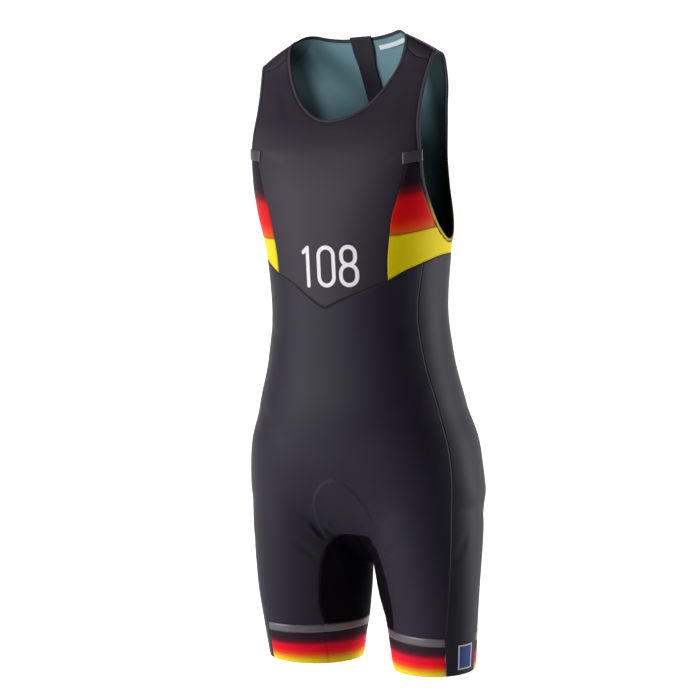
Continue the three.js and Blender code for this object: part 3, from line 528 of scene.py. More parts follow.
        crotch = seam(self.crotch_rows, 6 * f, Hold.UPRIGHT)
        hip_front, hip_back = seam(self.hip_front_rows, 11 * f), seam(self.hip_back_rows, 11 * f)

        heights = np.linspace(self.band_top, self.hem_z, 3 * f + 1)
        trim = {}
        for name, line, corner in (("side_front", leg_front, self.hem_side_front),
                                   ("inner_front", inner_front, self.hem_inner_front),
                                   ("inner_back", inner_back, self.hem_inner_back),
                                   ("side_back", leg_back, self.hem_side_back)):
            trim[name] = self.trim_seam(line[-1], corner, heights)
            line[-1] = trim[name][0]

        grids = self.grids
        right = FORM.on_right
        grids["front_upper"] = [
            patch(across(point_front), chest_line, chest[::-1], right(chest[::-1])),
            patch(joined(tab[::-1], chest_line, right(tab)), across(joined(yoke_front[::-1], neck_front)),
                  arm_front[::-1], right(arm_front[::-1])),
        ]
        leg_front_grid = patch(self.leg_line(leg_front[-1], inner_front[-1], 11 * f), hip_front, leg_front[::-1],
                               joined(centre_front, inner_front)[::-1])
        grids["front_lower"] = [
            patch(across(hip_front), across(joined(rib_front[::-1], point_front)), side_front[::-1],
                  right(side_front[::-1])),
            leg_front_grid, right(leg_front_grid),
        ]
        leg_back_grid = patch(self.leg_line(inner_back[-1], leg_back[-1], 11 * f)[::-1], hip_back, leg_back[::-1],
                              joined(centre_back, inner_back)[::-1])
        foot = FORM.lay(np.array([[0, zip_edge[0][1], self.zip_foot]]), Hold.UPRIGHT)[0]
        foot_line = equal_steps(np.array([point_back[-1], foot]), f)
        grids["back_lower"] = [
            patch(across(hip_back), across(joined(rib_back, point_back, foot_line)), side_back[::-1],
                  right(side_back[::-1])),
            leg_back_grid, right(leg_back_grid),
        ]
        halves = {
            "shoulder_yoke": patch(yoke_front, yoke_back, neck_yoke[::-1], arm_yoke[::-1]),
            "side_upper": patch(rib, joined(tab, arm_low), chest[::-1], back_seam[::-1]),
            "back_upper": patch(point_back[::-1], joined(neck_back, yoke_back), zip_edge,
                                joined(back_seam[::-1], arm_back)),
            "side_lower": patch(
                self.hem_line(trim["side_back"][-1], trim["side_front"][-1], 5 * f)[::-1], rib_side,
                joined(side_front, leg_front, trim["side_front"])[::-1],
                joined(side_back, leg_back, trim["side_back"])[::-1]),
            "inner_leg": patch(self.leg_line(inner_front[-1], inner_back[-1], 6 * f), crotch, inner_front[::-1],
                               inner_back[::-1]),
        }
        for name, a, b in (("front", "side_front", "inner_front"), ("inner", "inner_front", "inner_back"),
                           ("back", "inner_back", "side_back")):
            halves[f"leg_tape_{name}"] = self.trim_grid(trim[a], trim[b], self.band_top,
                                                        self.band_top - self.tape_height, 4)
            halves[f"leg_band_{name}"] = self.trim_grid(trim[a], trim[b], self.band_top - self.tape_height,
                                                        self.hem_z, 24)
        for name, grid in halves.items():
            grids[f"{name}_left"] = [grid]
            grids[f"{name}_right"] = [right(grid)]
        lines.update(
            neck_edge=across(neck_edge), neck_seam=across(neck_seam), arm_edge=arm_edge, arm_seam=arm_seam,
            yoke_front=yoke_front, yoke_back=yoke_back, chest=chest, tab=tab, rib=rib,
            point_front=across(point_front), point_back=point_back, back_seam=back_seam, zip_edge=zip_edge,
            side_front=joined(side_front, leg_front), side_back=joined(side_back, leg_back),
            inner_front=inner_front, inner_back=inner_back, crotch=crotch,
            **{f"trim_{name}": line for name, line in trim.items()},
        )

    def hem_line(self, first: Points, last: Points, steps: int) -> Points:
        """A line along the sloping hem from one point to another."""
        line = self.leg_line(np.array([*first[:2], self.hem_z]), np.array([*last[:2], self.hem_z]), steps)
        line = self.on_hem(line, np.ones(len(line)))
        line[0], line[-1] = first, last
        return line

    def trim_grid(self, a: Points, b: Points, top: float, bottom: float, rows: int) -> Points:
        """A leg trim's grid between two upright seams and two heights, the first row at the top."""
        full = np.linspace(self.band_top, self.hem_z, len(a))
        grid = []
        for z in np.linspace(top, bottom, rows + 1):
            ends = [np.array([np.interp(-z, -full, side[:, k]) for k in range(3)]) for side in (a, b)]
            share = ((z - self.band_top) / (self.hem_z - self.band_top)) ** 3
            start, end = self.leg_angle(ends[0], z), self.leg_angle(ends[1], z)
            end = end - 2 * math.pi if end > start else end
            line = self.leg_point(np.linspace(start, end, 6 * self.band_fine + 1), z)
            line = self.on_hem(line, np.full(len(line), share))
            line[0], line[-1] = ends
            grid.append(line)
        return np.array(grid)


# ---------------------------------------------------------------- relief of the cloth

@dataclass(frozen=True)
class Crease:
    """A soft trough or ridge along a line on the form, in millimetres."""

    rows: tuple
    depth: float
    width: float
    lean: float = 0.0
    mirrored: bool = False

    def lines(self) -> list[Points]:
        """The lines that it follows on the form."""
        line = seam(self.rows, 14)
        return [line, FORM.on_right(line)] if self.mirrored else [line]

    def relief(self, p: Points, line: Points) -> Values:
        """Its height at points beside one of its lines: below zero in a trough."""
        reach = 3.2 * self.width
        near = ((p > line.min(0) - reach) & (p < line.max(0) + reach)).all(-1)
        height = np.zeros(len(p))
        q = p[near]
        if not len(q):
            return height
        best = np.full(len(q), 1e9)
        place, side = np.zeros(len(q)), np.zeros(len(q))
        normals = FORM.outward(line)
        for i in range(len(line) - 1):
            a, b = line[i], line[i + 1]
            along = b - a
            t = np.clip(((q - a) @ along) / (along @ along), 0, 1)
            off = q - (a + t[:, None] * along)
            distance = np.linalg.norm(off, axis=1)
            closer = distance < best
            best = np.where(closer, distance, best)
            place = np.where(closer, (i + t) / (len(line) - 1), place)
            side = np.where(closer, off @ unit(np.cross(normals[i], along)), side)
        taper = np.sin(math.pi * np.clip(place, 0, 1)) ** 0.7
        width = self.width * (0.75 + 0.5 * place)
        main = np.exp(-((best / width) ** 2))
        shoulder = np.exp(-(((side - 1.5 * width) / width) ** 2)) * np.exp(-((best / (2.2 * width)) ** 4))
        ends = np.exp(-np.maximum(best ** 2 - side ** 2, 0) / width ** 2)
        height[near] = self.depth * taper * ends * (main - self.lean * shoulder)
        return height


@dataclass
class Relief:
    """How far the cloth stands from the form: creases, the pad's outline and the dip at each seam."""

    seam_dip: float = 0.42
    seam_reach: float = 2.4
    pad_rise: float = 1.4
    pad_edge: float = 0.6
    # angle under the crotch from the back to the front, in degrees, and the pad's half width there
    pad_table: tuple = (
        (-27, -12), (-23, 16), (-18, 32), (-8, 47), (8, 56), (40, 52), (65, 36), (90, 24), (112, 30), (132, 41),
        (152, 46), (170, 43), (182, 33), (190, 17), (195, -12),
    )
    pad_middle: tuple = (10, -640)
    creases: tuple = (
        # from the crotch up and outwards over the thighs
        Crease(((34, -52, -716), (46, -62, -700), (56, -72, -680)), -1.9, 4.2, 0.6, True),
        Crease(((22, -46, -706), (30, -56, -694), (36, -66, -678)), 1.1, 4.0, 0.3, True),
        Crease(((52, -56, -744), (68, -62, -726), (88, -68, -708)), -0.9, 6.0, 0.5, True),
        # across the hips and the waist
        Crease(((-120, -62, -520), (-92, -84, -548), (-60, -96, -566)), -0.7, 11.0, 0.5, False),
        Crease(((128, -46, -470), (104, -70, -500), (76, -86, -520)), -0.8, 12.0, 0.5, False),
        Crease(((-124, -30, -400), (-96, -70, -412), (-58, -92, -418)), -0.6, 10.0, 0.4, False),
        Crease(((126, -24, -388), (100, -62, -404), (66, -88, -416)), -0.6, 11.0, 0.4, False),
        # chest, from the armholes inwards
        Crease(((124, -58, -150), (98, -70, -166), (70, -80, -176)), -0.8, 9.0, 0.5, False),
        Crease(((-122, -58, -146), (-96, -70, -160), (-66, -80, -168)), -0.9, 8.0, 0.5, False),
        Crease(((108, -30, -70), (98, -42, -96), (86, -58, -126)), 0.7, 9.0, 0.4, True),
        # back: small of the back, under the seat and behind the thighs
        Crease(((-112, 56, -398), (-62, 82, -414), (-10, 88, -410)), -1.3, 9.0, 0.6, False),
        Crease(((14, 88, -432), (66, 82, -440), (114, 58, -424)), -1.2, 8.0, 0.6, False),
        Crease(((-90, 74, -446), (-34, 92, -456), (26, 94, -452)), -0.9, 8.5, 0.5, False),
        Crease(((20, 104, -690), (62, 98, -702), (110, 78, -700)), -1.6, 6.5, 0.7, True),
        Crease(((34, 84, -716), (66, 84, -728), (104, 70, -730)), -1.0, 6.0, 0.5, True),
        Crease(((64, 62, -800), (96, 62, -806), (130, 44, -800)), -0.8, 7.5, 0.5, True),
        # upper back beside the zip and at the armholes
        Crease(((20, 92, -150), (54, 92, -162), (92, 84, -158)), -0.8, 9.0, 0.4, False),
        Crease(((-18, 104, -220), (-56, 100, -236), (-94, 90, -232)), -0.8, 10.0, 0.4, False),
        Crease(((112, 80, -232), (92, 92, -262), (66, 98, -284)), -0.7, 8.0, 0.5, True),
        # sides of the legs
        Crease(((172, -30, -690), (168, -40, -716), (158, -52, -736)), -0.7, 7.0, 0.4, True),
        Crease(((178, 0, -660), (174, 26, -676), (160, 56, -686)), -0.8, 8.0, 0.5, True),
    )
    tree: kdtree.KDTree | None = None
    folds: list[tuple[Crease, Points]] = field(default_factory=list)

    def remember(self, lines: Iterable[Points]) -> None:
        """Keeps the seam lines, for distances to the nearest of them."""
        dense = [equal_steps(line, max(int(np.linalg.norm(np.diff(line, axis=0), axis=1).sum() / 0.7), 2))
                 for line in lines]
        points = np.concatenate(dense)
        self.tree = kdtree.KDTree(len(points))
        for i, point in enumerate(points):
            self.tree.insert(point, i)
        self.tree.balance()
        self.folds = [(crease, line) for crease in self.creases for line in crease.lines()]

    def seam_distance(self, p: Points) -> Values:
        """Distances from points to the nearest seam."""
        return np.array([self.tree.find(point)[2] for point in p])

    def pad(self, p: Points) -> Values:
        """How far points lie inside the pad's outline, below zero outside it."""
        angle = np.degrees(np.arctan2(-(p[:, 2] - self.pad_middle[1]), p[:, 1] - self.pad_middle[0]))
        angle = np.where(angle < -90, angle + 360, angle)
        table = np.array(self.pad_table, float)
        return np.interp(angle, table[:, 0], table[:, 1]) - np.abs(p[:, 0])

    def height(self, p: Points, distance: Values) -> Values:
        """The cloth's height over the form at points."""
        total = -self.seam_dip * np.exp(-((distance / self.seam_reach) ** 2))
        for crease, line in self.folds:
            total += crease.relief(p, line)
        near = (p[:, 2] < -590) & (np.abs(p[:, 0]) < 75)
        inside = np.where(near, self.pad(p), -99)
        total += self.pad_rise * smoothstep(inside, -3, 4)
        total += self.pad_edge * np.exp(-(((inside - 1) / 2.6) ** 2))
        return total


# ---------------------------------------------------------------- shader graphs

class Flow:
    """A number or colour that runs through a material, with Python's arithmetic on it."""

    def __init__(self, graph: "Graph", socket: bpy.types.NodeSocket) -> None:
        """Keeps the socket and the graph that it belongs to."""
        self.graph = graph
        self.socket = socket

    def __add__(self, other: "Flow | float") -> "Flow":
        """self + other."""
        return self.graph.math("ADD", self, other)

    def __radd__(self, other: float) -> "Flow":
        """other + self."""
        return self.graph.math("ADD", other, self)

    def __sub__(self, other: "Flow | float") -> "Flow":
        """self - other."""
        return self.graph.math("SUBTRACT", self, other)

    def __rsub__(self, other: float) -> "Flow":
        """other - self."""
        return self.graph.math("SUBTRACT", other, self)

    def __mul__(self, other: "Flow | float") -> "Flow":
        """self * other."""
        return self.graph.math("MULTIPLY", self, other)

    def __rmul__(self, other: float) -> "Flow":
        """other * self."""
        return self.graph.math("MULTIPLY", other, self)

    def sine(self) -> "Flow":
        """Its sine."""
        return self.graph.math("SINE", self)

    def size(self) -> "Flow":
        """Its value without the sign."""
        return self.graph.math("ABSOLUTE", self)

    def at_least(self, other: "Flow | float") -> "Flow":
        """The greater of the two."""
        return self.graph.math("MAXIMUM", self, other)

    def at_most(self, other: "Flow | float") -> "Flow":
        """The lesser of the two."""
        return self.graph.math("MINIMUM", self, other)

    def step(self, low: float, high: float) -> "Flow":
        """A smooth step from 0 at low to 1 at high; high may be the lesser."""
        node = self.graph.node("ShaderNodeMapRange", {"interpolation_type": "SMOOTHSTEP"},
                               {"Value": self, "From Min": low, "From Max": high})
        return Flow(self.graph, node.outputs["Result"])


Colour = tuple[float, float, float]


def colour(code: str) -> Colour:
    """A screen colour such as "433d46" as linear light."""
    parts = [int(code[i:i + 2], 16) / 255 for i in (0, 2, 4)]
    return tuple(c / 12.92 if c <= 0.04045 else ((c + 0.055) / 1.055) ** 2.4 for c in parts)


class Graph:
    """The nodes of one material."""

    def __init__(self, name: str) -> None:
        """Starts a material with its shader."""
        self.material = bpy.data.materials.new(name)
        self.material.use_nodes = True
        self.tree = self.material.node_tree
        self.shader = self.tree.nodes["Principled BSDF"]

    def node(self, kind: str, settings: dict, inputs: dict) -> bpy.types.Node:
        """Adds a node.

        Args:
            kind: the node's type.
            settings: its own settings, set first.
            inputs: values or links of its sockets, by name or number.

        Returns:
            The node.
        """
        made = self.tree.nodes.new(kind)
        for key, value in settings.items():
            if key == "stops":
                self._stops(made, value)
            else:
                setattr(made, key, value)
        for key, value in inputs.items():
            self.feed(made.inputs[key], value)
        return made

    @staticmethod
    def _stops(made: bpy.types.Node, stops: Sequence[tuple[float, Colour]]) -> None:
        """Sets a ramp's stops."""
        ramp = made.color_ramp
        while len(ramp.elements) < len(stops):
            ramp.elements.new(1.0)
        for element, (place, shade) in zip(ramp.elements, stops):
            element.position = place
            element.color = (*shade, 1)

    def feed(self, socket: bpy.types.NodeSocket, value: "Flow | float | tuple") -> None:
        """Gives a socket a link or a value."""
        if isinstance(value, Flow):
            self.tree.links.new(value.socket, socket)
        elif isinstance(value, tuple) and socket.type == "RGBA" and len(value) == 3:
            socket.default_value = (*value, 1)
        else:
            socket.default_value = value

    def math(self, operation: str, a: "Flow | float", b: "Flow | float | None" = None) -> Flow:
        """A Math node on one or two values."""
        inputs = {0: a} if b is None else {0: a, 1: b}
        return Flow(self, self.node("ShaderNodeMath", {"operation": operation}, inputs).outputs[0])

    def mix(self, factor: "Flow | float", a: "Flow | Colour", b: "Flow | Colour") -> Flow:
        """A colour between two."""
        node = self.node("ShaderNodeMix", {"data_type": "RGBA"}, {0: factor, 6: a, 7: b})
        return Flow(self, node.outputs[2])

    def shade(self, base: "Flow | Colour", amount: Flow) -> Flow:
        """A colour made lighter or darker by a share about 1."""
        node = self.node("ShaderNodeVectorMath", {"operation": "SCALE"}, {0: base, "Scale": amount})
        return Flow(self, node.outputs[0])

    def ramp(self, value: Flow, stops: Sequence[tuple[float, Colour]]) -> Flow:
        """A colour looked up along a ramp."""
        return Flow(self, self.node("ShaderNodeValToRGB", {"stops": stops}, {0: value}).outputs[0])

    def attribute(self, name: str) -> Flow:
        """A number kept on the mesh."""
        return Flow(self, self.node("ShaderNodeAttribute", {"attribute_name": name}, {}).outputs["Fac"])

    def place(self) -> tuple[Flow, Flow, Flow]:
        """The place on the object, in metres."""
        return self._split(self.node("ShaderNodeTexCoord", {}, {}).outputs["Object"])

    def cloth(self) -> tuple[Flow, Flow]:
        """The place along and up the cloth, in metres."""
        u, v, _ = self._split(self.node("ShaderNodeUVMap", {"uv_map": "cloth"}, {}).outputs[0])
        return u, v

    def knit(self, wale: float, course: float) -> Flow:
        """The height of a knit whose stitches are a wale wide and a course high, in metres."""
        u, v = self.cloth()
        wales = (u * (2 * math.pi / wale)).sine()
        courses = (v * (2 * math.pi / course) + wales * 0.8).sine()
        return wales * 0.6 + courses * 0.4

    def _split(self, socket: bpy.types.NodeSocket) -> tuple[Flow, Flow, Flow]:
        """A vector's three numbers."""
        node = self.node("ShaderNodeSeparateXYZ", {}, {0: Flow(self, socket)})
        return tuple(Flow(self, out) for out in node.outputs)

    def noise(self, scale: float, detail: float = 2.0, stretch: tuple = (1, 1, 1)) -> Flow:
        """Noise about 0.5 on the object's own place."""
        coordinate = Flow(self, self.node("ShaderNodeTexCoord", {}, {}).outputs["Object"])
        placed = self.node("ShaderNodeMapping", {}, {"Vector": coordinate, "Scale": stretch})
        node = self.node("ShaderNodeTexNoise", {}, {
            "Vector": Flow(self, placed.outputs[0]), "Scale": scale, "Detail": detail})
        return Flow(self, node.outputs[0])

    def bump(self, height: Flow, distance: float, strength: float = 1.0) -> Flow:
        """A normal from a height."""
        node = self.node("ShaderNodeBump", {}, {"Height": height, "Distance": distance, "Strength": strength})
        return Flow(self, node.outputs[0])

    def finish(self, **sockets: "Flow | float | tuple") -> bpy.types.Material:
        """Feeds the shader's sockets, whose names have _ for a space, and returns the material."""
        for key, value in sockets.items():
            self.feed(self.shader.inputs[key.replace("_", " ")], value)
        return self.material


# ---------------------------------------------------------------- finishes

# painted shade of the seam's groove: the cloth darkens towards a seam between these distances in millimetres, and by
# this share at it
SEAM_FADE = (3.4, 0.2)
SEAM_PAINTED_SHADE = 0.12


class Print(Enum):
    """What a knit panel carries."""

    PLAIN = "plain"
    NUMBER = "number"


@dataclass(frozen=True)
class NumberPrint:
    """The plain white number on the front, in metres: an upright stroke, a tall ring and two stacked rings."""

    middle: tuple[float, float] = (0.004, -0.3135)
    half_height: float = 0.0265
    half_width: float = 0.0118
    pitch: float = 0.0345
    stroke: float = 0.0028
    flag: tuple[float, float] = (0.007, 0.006)

    def mask(self, g: Graph) -> Flow:
        """1 on the number and 0 beside it."""
        x, y, z = g.place()
        px, pz = x - self.middle[0], z - self.middle[1]
        height, width = self.half_height, self.half_width
        left, right = px + self.pitch, px - self.pitch
        gap = self._bar(g, left, pz, (width * 0.4, -height), (width * 0.4, height))
        tip = (width * 0.4 - self.flag[0], height - self.flag[1])
        gap = gap.at_most(self._bar(g, left, pz, (width * 0.4, height), tip))
        gap = gap.at_most(self._ring(g, px, pz, 0.0, height, width))
        low = height * 0.53
        gap = gap.at_most(self._ring(g, right, pz, low - height, low, width))
        gap = gap.at_most(self._ring(g, right, pz, low, height - low, width * 0.86))
        return (gap - self.stroke).step(0.0005, -0.0005) * y.step(-0.02, -0.03)

    @staticmethod
    def _bar(g: Graph, x: Flow, z: Flow, a: tuple, b: tuple) -> Flow:
        """Distance to a straight stroke between two points."""
        along = (b[0] - a[0], b[1] - a[1])
        square = along[0] ** 2 + along[1] ** 2
        dx, dz = x - a[0], z - a[1]
        t = (dx * (along[0] / square) + dz * (along[1] / square)).at_least(0.0).at_most(1.0)
        ox, oz = dx - t * along[0], dz - t * along[1]
        return g.math("SQRT", ox * ox + oz * oz)

    @staticmethod
    def _ring(g: Graph, x: Flow, z: Flow, middle_z: float, half_z: float, half_x: float) -> Flow:
        """Distance to the outline of an upright frame with round ends."""
        qz = ((z - middle_z).size() - (half_z - half_x)).at_least(0.0)
        return (g.math("SQRT", x * x + qz * qz) - half_x).size()


@dataclass(frozen=True)
class Knit:
    """Smooth stretch knit: fine wales, a faint mottle and a soft sheen."""

    name: str
    tint: Colour
    roughness: float = 0.52
    wale: float = 0.0011
    course: float = 0.0013
    grain: float = 0.00005
    mottle: float = 0.10
    shine: float = 0.2
    carries: Print = Print.PLAIN
    # for a lining: painted shade, where it grows dark away from the neck, sideways and downwards, as little light
    # reaches in there
    painted_shade_beside: tuple[float, float] | None = None
    painted_shade_below: tuple[float, float] = (-0.05, -0.105)

    def material(self) -> bpy.types.Material:
        """Builds the material."""
        g = Graph(self.name)
        weave = g.knit(self.wale, self.course)
        cloud = g.noise(9.0, 3.0, (1, 1, 0.6))
        fine = g.noise(420.0, 2.0)
        share = (cloud - 0.5) * (2 * self.mottle) + (fine - 0.5) * 0.10 + weave * 0.025 + 1.0
        near_seam = g.attribute("seam").step(*SEAM_FADE)
        # painted shade: the knit darkens towards each seam
        share = share * (1.0 - near_seam * SEAM_PAINTED_SHADE)
        # painted shade: the lining darkens sideways away from the neck and towards its bottom
        if self.painted_shade_beside is not None:
            x, _, z = g.place()
            share = share * (1.0 - x.size().step(*self.painted_shade_beside) * 0.85) * (1.0 - z.step(*self.painted_shade_below) * 0.6)
        base = g.shade(self.tint, share)
        rough = self.roughness + (cloud - 0.5) * 0.10 + near_seam * 0.06
        if self.carries is Print.NUMBER:
            mask = NumberPrint().mask(g)
            wear = mask * (0.90 + (fine - 0.5) * 0.12)
            base = g.mix(wear, base, colour("f2eff2"))
            rough = rough + mask * 0.06
        ridge = weave * 0.5 + (fine - 0.5) * 0.5
        normal = g.bump(ridge, self.grain)
        return g.finish(Base_Color=base, Roughness=rough, Normal=normal, Sheen_Weight=self.shine * 0.2,
                        Sheen_Roughness=0.45, Specular_IOR_Level=self.shine)


@dataclass(frozen=True)
class Stripes:
    """A knit printed in bands that run into each other, looked up by the printed height on the mesh."""

    name: str
    stops: tuple
    low: float
    high: float
    roughness: float = 0.5
    wale: float = 0.0011
    course: float = 0.0013
    line_at: float | None = None

    def material(self) -> bpy.types.Material:
        """Builds the material."""
        g = Graph(self.name)
        height = g.attribute("print")
        weave = g.knit(self.wale, self.course)
        fine = g.noise(420.0, 2.0)
        cloud = g.noise(26.0, 3.0)
        waver = (cloud - 0.5) * 1.6
        place = (height + waver - self.low) * (1 / (self.high - self.low))
        stops = [((h - self.low) / (self.high - self.low), colour(code)) for h, code in self.stops]
        base = g.ramp(place, stops)
        if self.line_at is not None:
            line = (height + waver * 0.3 - self.line_at).size().step(1.3, 0.5)
            base = g.mix(line * 0.62, base, colour("5a1204"))
        near_seam = g.attribute("seam").step(*SEAM_FADE)
        # painted shade: the print darkens towards each seam
        share = (1.0 - near_seam * SEAM_PAINTED_SHADE) * ((fine - 0.5) * 0.10 + weave * 0.03 + 1.0)
        base = g.shade(base, share)
        normal = g.bump(weave * 0.5 + (fine - 0.5) * 0.5, 0.00005)
        return g.finish(Base_Color=base, Roughness=self.roughness + (cloud - 0.5) * 0.08, Normal=normal,
                        Specular_IOR_Level=0.1)


@dataclass(frozen=True)
class Tape:
    """Reflective tape: silvery, with a fine lattice pressed into it."""

    name: str
    tint: Colour
    lattice: float = 0.0021

    def material(self) -> bpy.types.Material:
        """Builds the material."""
        g = Graph(self.name)
        u, v = g.cloth()
        k = 2 * math.pi / self.lattice
        lattice = ((u + v) * k).sine() * ((u - v) * k).sine()
        worn = g.noise(70.0, 4.0)
        beads = g.noise(900.0, 1.0)
        share = 0.92 + (worn - 0.5) * 0.30 + lattice * 0.07 + (beads - 0.5) * 0.22
        normal = g.bump(lattice * 0.6 + beads * 0.4, 0.00006)
        return g.finish(Base_Color=g.shade(self.tint, share), Roughness=0.38 + (worn - 0.5) * 0.2, Metallic=0.35,
                        Normal=normal, Specular_IOR_Level=0.6)


@dataclass(frozen=True)
class Edging:
    """Folded elastic edging with a fine cross rib; it takes a second colour below a height."""

    name: str
    tint: Colour
    low_tint: Colour | None = None
    turn_z: float = -0.235
    rib: float = 0.0012

    def material(self) -> bpy.types.Material:
        """Builds the material."""
        g = Graph(self.name)
        u, _ = g.cloth()
        ribs = (u * (2 * math.pi / self.rib)).sine()
        fine = g.noise(500.0, 2.0)
        share = 1.0 + ribs * 0.07 + (fine - 0.5) * 0.14
        base = self.tint
        if self.low_tint is not None:
            _, _, z = g.place()
            base = g.mix(z.step(self.turn_z + 0.018, self.turn_z - 0.018), self.tint, self.low_tint)
        # painted shade and light: the edging is darker along its own edges, where it rolls under, and lighter along
        # its middle
        share = share * (g.attribute("seam").step(0.4, 1.6) * 0.5 + 0.75)
        normal = g.bump(ribs * 0.6 + fine * 0.4, 0.00008)
        return g.finish(Base_Color=g.shade(base, share), Roughness=0.62, Normal=normal, Sheen_Weight=0.04,
                        Specular_IOR_Level=0.2)


@dataclass(frozen=True)
class Woven:
    """Close woven tape, label or foam cover with a twill line."""

    name: str
    tint: Colour
    pitch: float = 0.0012
    roughness: float = 0.75
    depth: float = 0.00008
    border: Colour | None = None

    def material(self) -> bpy.types.Material:
        """Builds the material."""
        g = Graph(self.name)
        x, y, z = g.place()
        k = 2 * math.pi / self.pitch
        twill = ((x + z) * k).sine()
        over = ((z - x + y) * k).sine()
        fine = g.noise(600.0, 2.0)
        share = 1.0 + twill * 0.06 + over * 0.04 + (fine - 0.5) * 0.16
        base = self.tint
        if self.border is not None:
            base = g.mix(g.attribute("seam").step(1.9, 1.5), self.tint, self.border)
        normal = g.bump(twill * 0.5 + over * 0.5, self.depth)
        return g.finish(Base_Color=g.shade(base, share), Roughness=self.roughness + (fine - 0.5) * 0.1, Normal=normal,
                        Specular_IOR_Level=0.25)


@dataclass(frozen=True)
class Metal:
    """Dark coated zinc, a little rubbed."""

    name: str
    tint: Colour

    def material(self) -> bpy.types.Material:
        """Builds the material."""
        g = Graph(self.name)
        rubbed = g.noise(260.0, 4.0)
        share = 0.8 + rubbed * 0.5
        return g.finish(Base_Color=g.shade(self.tint, share), Roughness=0.3 + (rubbed - 0.5) * 0.3, Metallic=0.85,
                        Normal=g.bump(rubbed, 0.00004))


SIDE_STOPS = ((-178, "1b1520"), (-205, "200e18"), (-216, "6a0512"), (-226, "cc020e"), (-254, "d80402"),
              (-266, "dc400a"), (-273, "c8680c"), (-276, "e4ce02"), (-340, "e0ca00"))
BAND_STOPS = ((-854, "2a1c28"), (-864, "321a28"), (-869, "6c0c28"), (-874, "e40430"), (-882, "fa0420"),
              (-888, "f4461c"), (-893, "f09a1c"), (-898, "f4da1e"), (-906, "f8e81e"))


class Finish(Enum):
    """The suit's finishes."""

    UPPER = Knit("upper_knit", colour("2e2632"), carries=Print.NUMBER)
    BACK = Knit("back_knit", colour("2e2632"))
    LOWER = Knit("lower_knit", colour("1f1a29"))
    # painted shade: the inner leg panels' near-black stands for the shadow under the crotch
    SHADE = Knit("inner_leg_painted_shade_knit", colour("08040e"), roughness=0.7, shine=0.04)
    STRIP = Knit("side_strip_knit", colour("201d29"))
    # teal lining, with painted shade sideways away from the neck and lower down
    INSIDE = Knit("inside_knit", colour("6d919b"), roughness=0.85, shine=0.08, painted_shade_beside=(0.074, 0.104))
    # painted shade: a dark copy of the lining, for the insides that lie in shadow
    INSIDE_DARK = Knit("inside_painted_shade_knit", colour("1c2327"), roughness=0.85, shine=0.05)
    SIDE = Stripes("side_print", SIDE_STOPS[::-1], -340, -178, line_at=-273)
    BAND = Stripes("band_print", BAND_STOPS[::-1], -906, -854)
    TAPE = Tape("silver_tape", colour("69656c"))
    TAB = Tape("silver_tab", colour("4d4a50"))
    NECK = Edging("neck_edging", colour("37333b"))
    ARM = Edging("armhole_edging", colour("403c46"), colour("a8921a"))
    ZIP = Woven("zip_weave", colour("141318"))
    GUARD = Woven("guard_weave", colour("1c1a22"), 0.0018, 0.6)
    LABEL = Woven("label_satin", colour("dde3ea"), 0.0009, 0.55)
    BADGE = Woven("badge_cloth", colour("223a7c"), 0.0009, 0.5, border=colour("c9cedd"))
    PAD = Woven("pad_cover", colour("23222a"), 0.0026, 0.9, 0.0002)
    THREAD = Woven("dark_thread", colour("2b282f"), 0.0006, 0.6)
    PALE_THREAD = Woven("pale_thread", colour("77727a"), 0.0006, 0.6)
    TEETH = Woven("zip_coil", colour("1a191d"), 0.0011, 0.35)
    METAL = Metal("dark_metal", colour("46474b"))

    def get(self) -> bpy.types.Material:
        """The material, built at its first use."""
        return bpy.data.materials.get(self.value.name) or self.value.material()


# ---------------------------------------------------------------- meshes

def piece(name: str, bm: bmesh.types.BMesh, finishes: Sequence[Finish], body: str = "suit") -> bpy.types.Object:
    """Makes an object of a bmesh and lets it ride on a body.

    Args:
        name: the piece's name.
        bm: its mesh, which is freed.
        finishes: one for each material slot.
        body: the body that it moves with.

    Returns:
        The object.
    """
    mesh = bpy.data.meshes.new(name)
    for face in bm.faces:
        face.smooth = True
    bm.to_mesh(mesh)
    bm.free()
    obj = bpy.data.objects.new(name, mesh)
    bpy.context.scene.collection.objects.link(obj)
    for each in finishes:
        mesh.materials.append(each.get())
    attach(obj, body)
    log.info("%s: %d faces", name, len(mesh.polygons))
    return obj


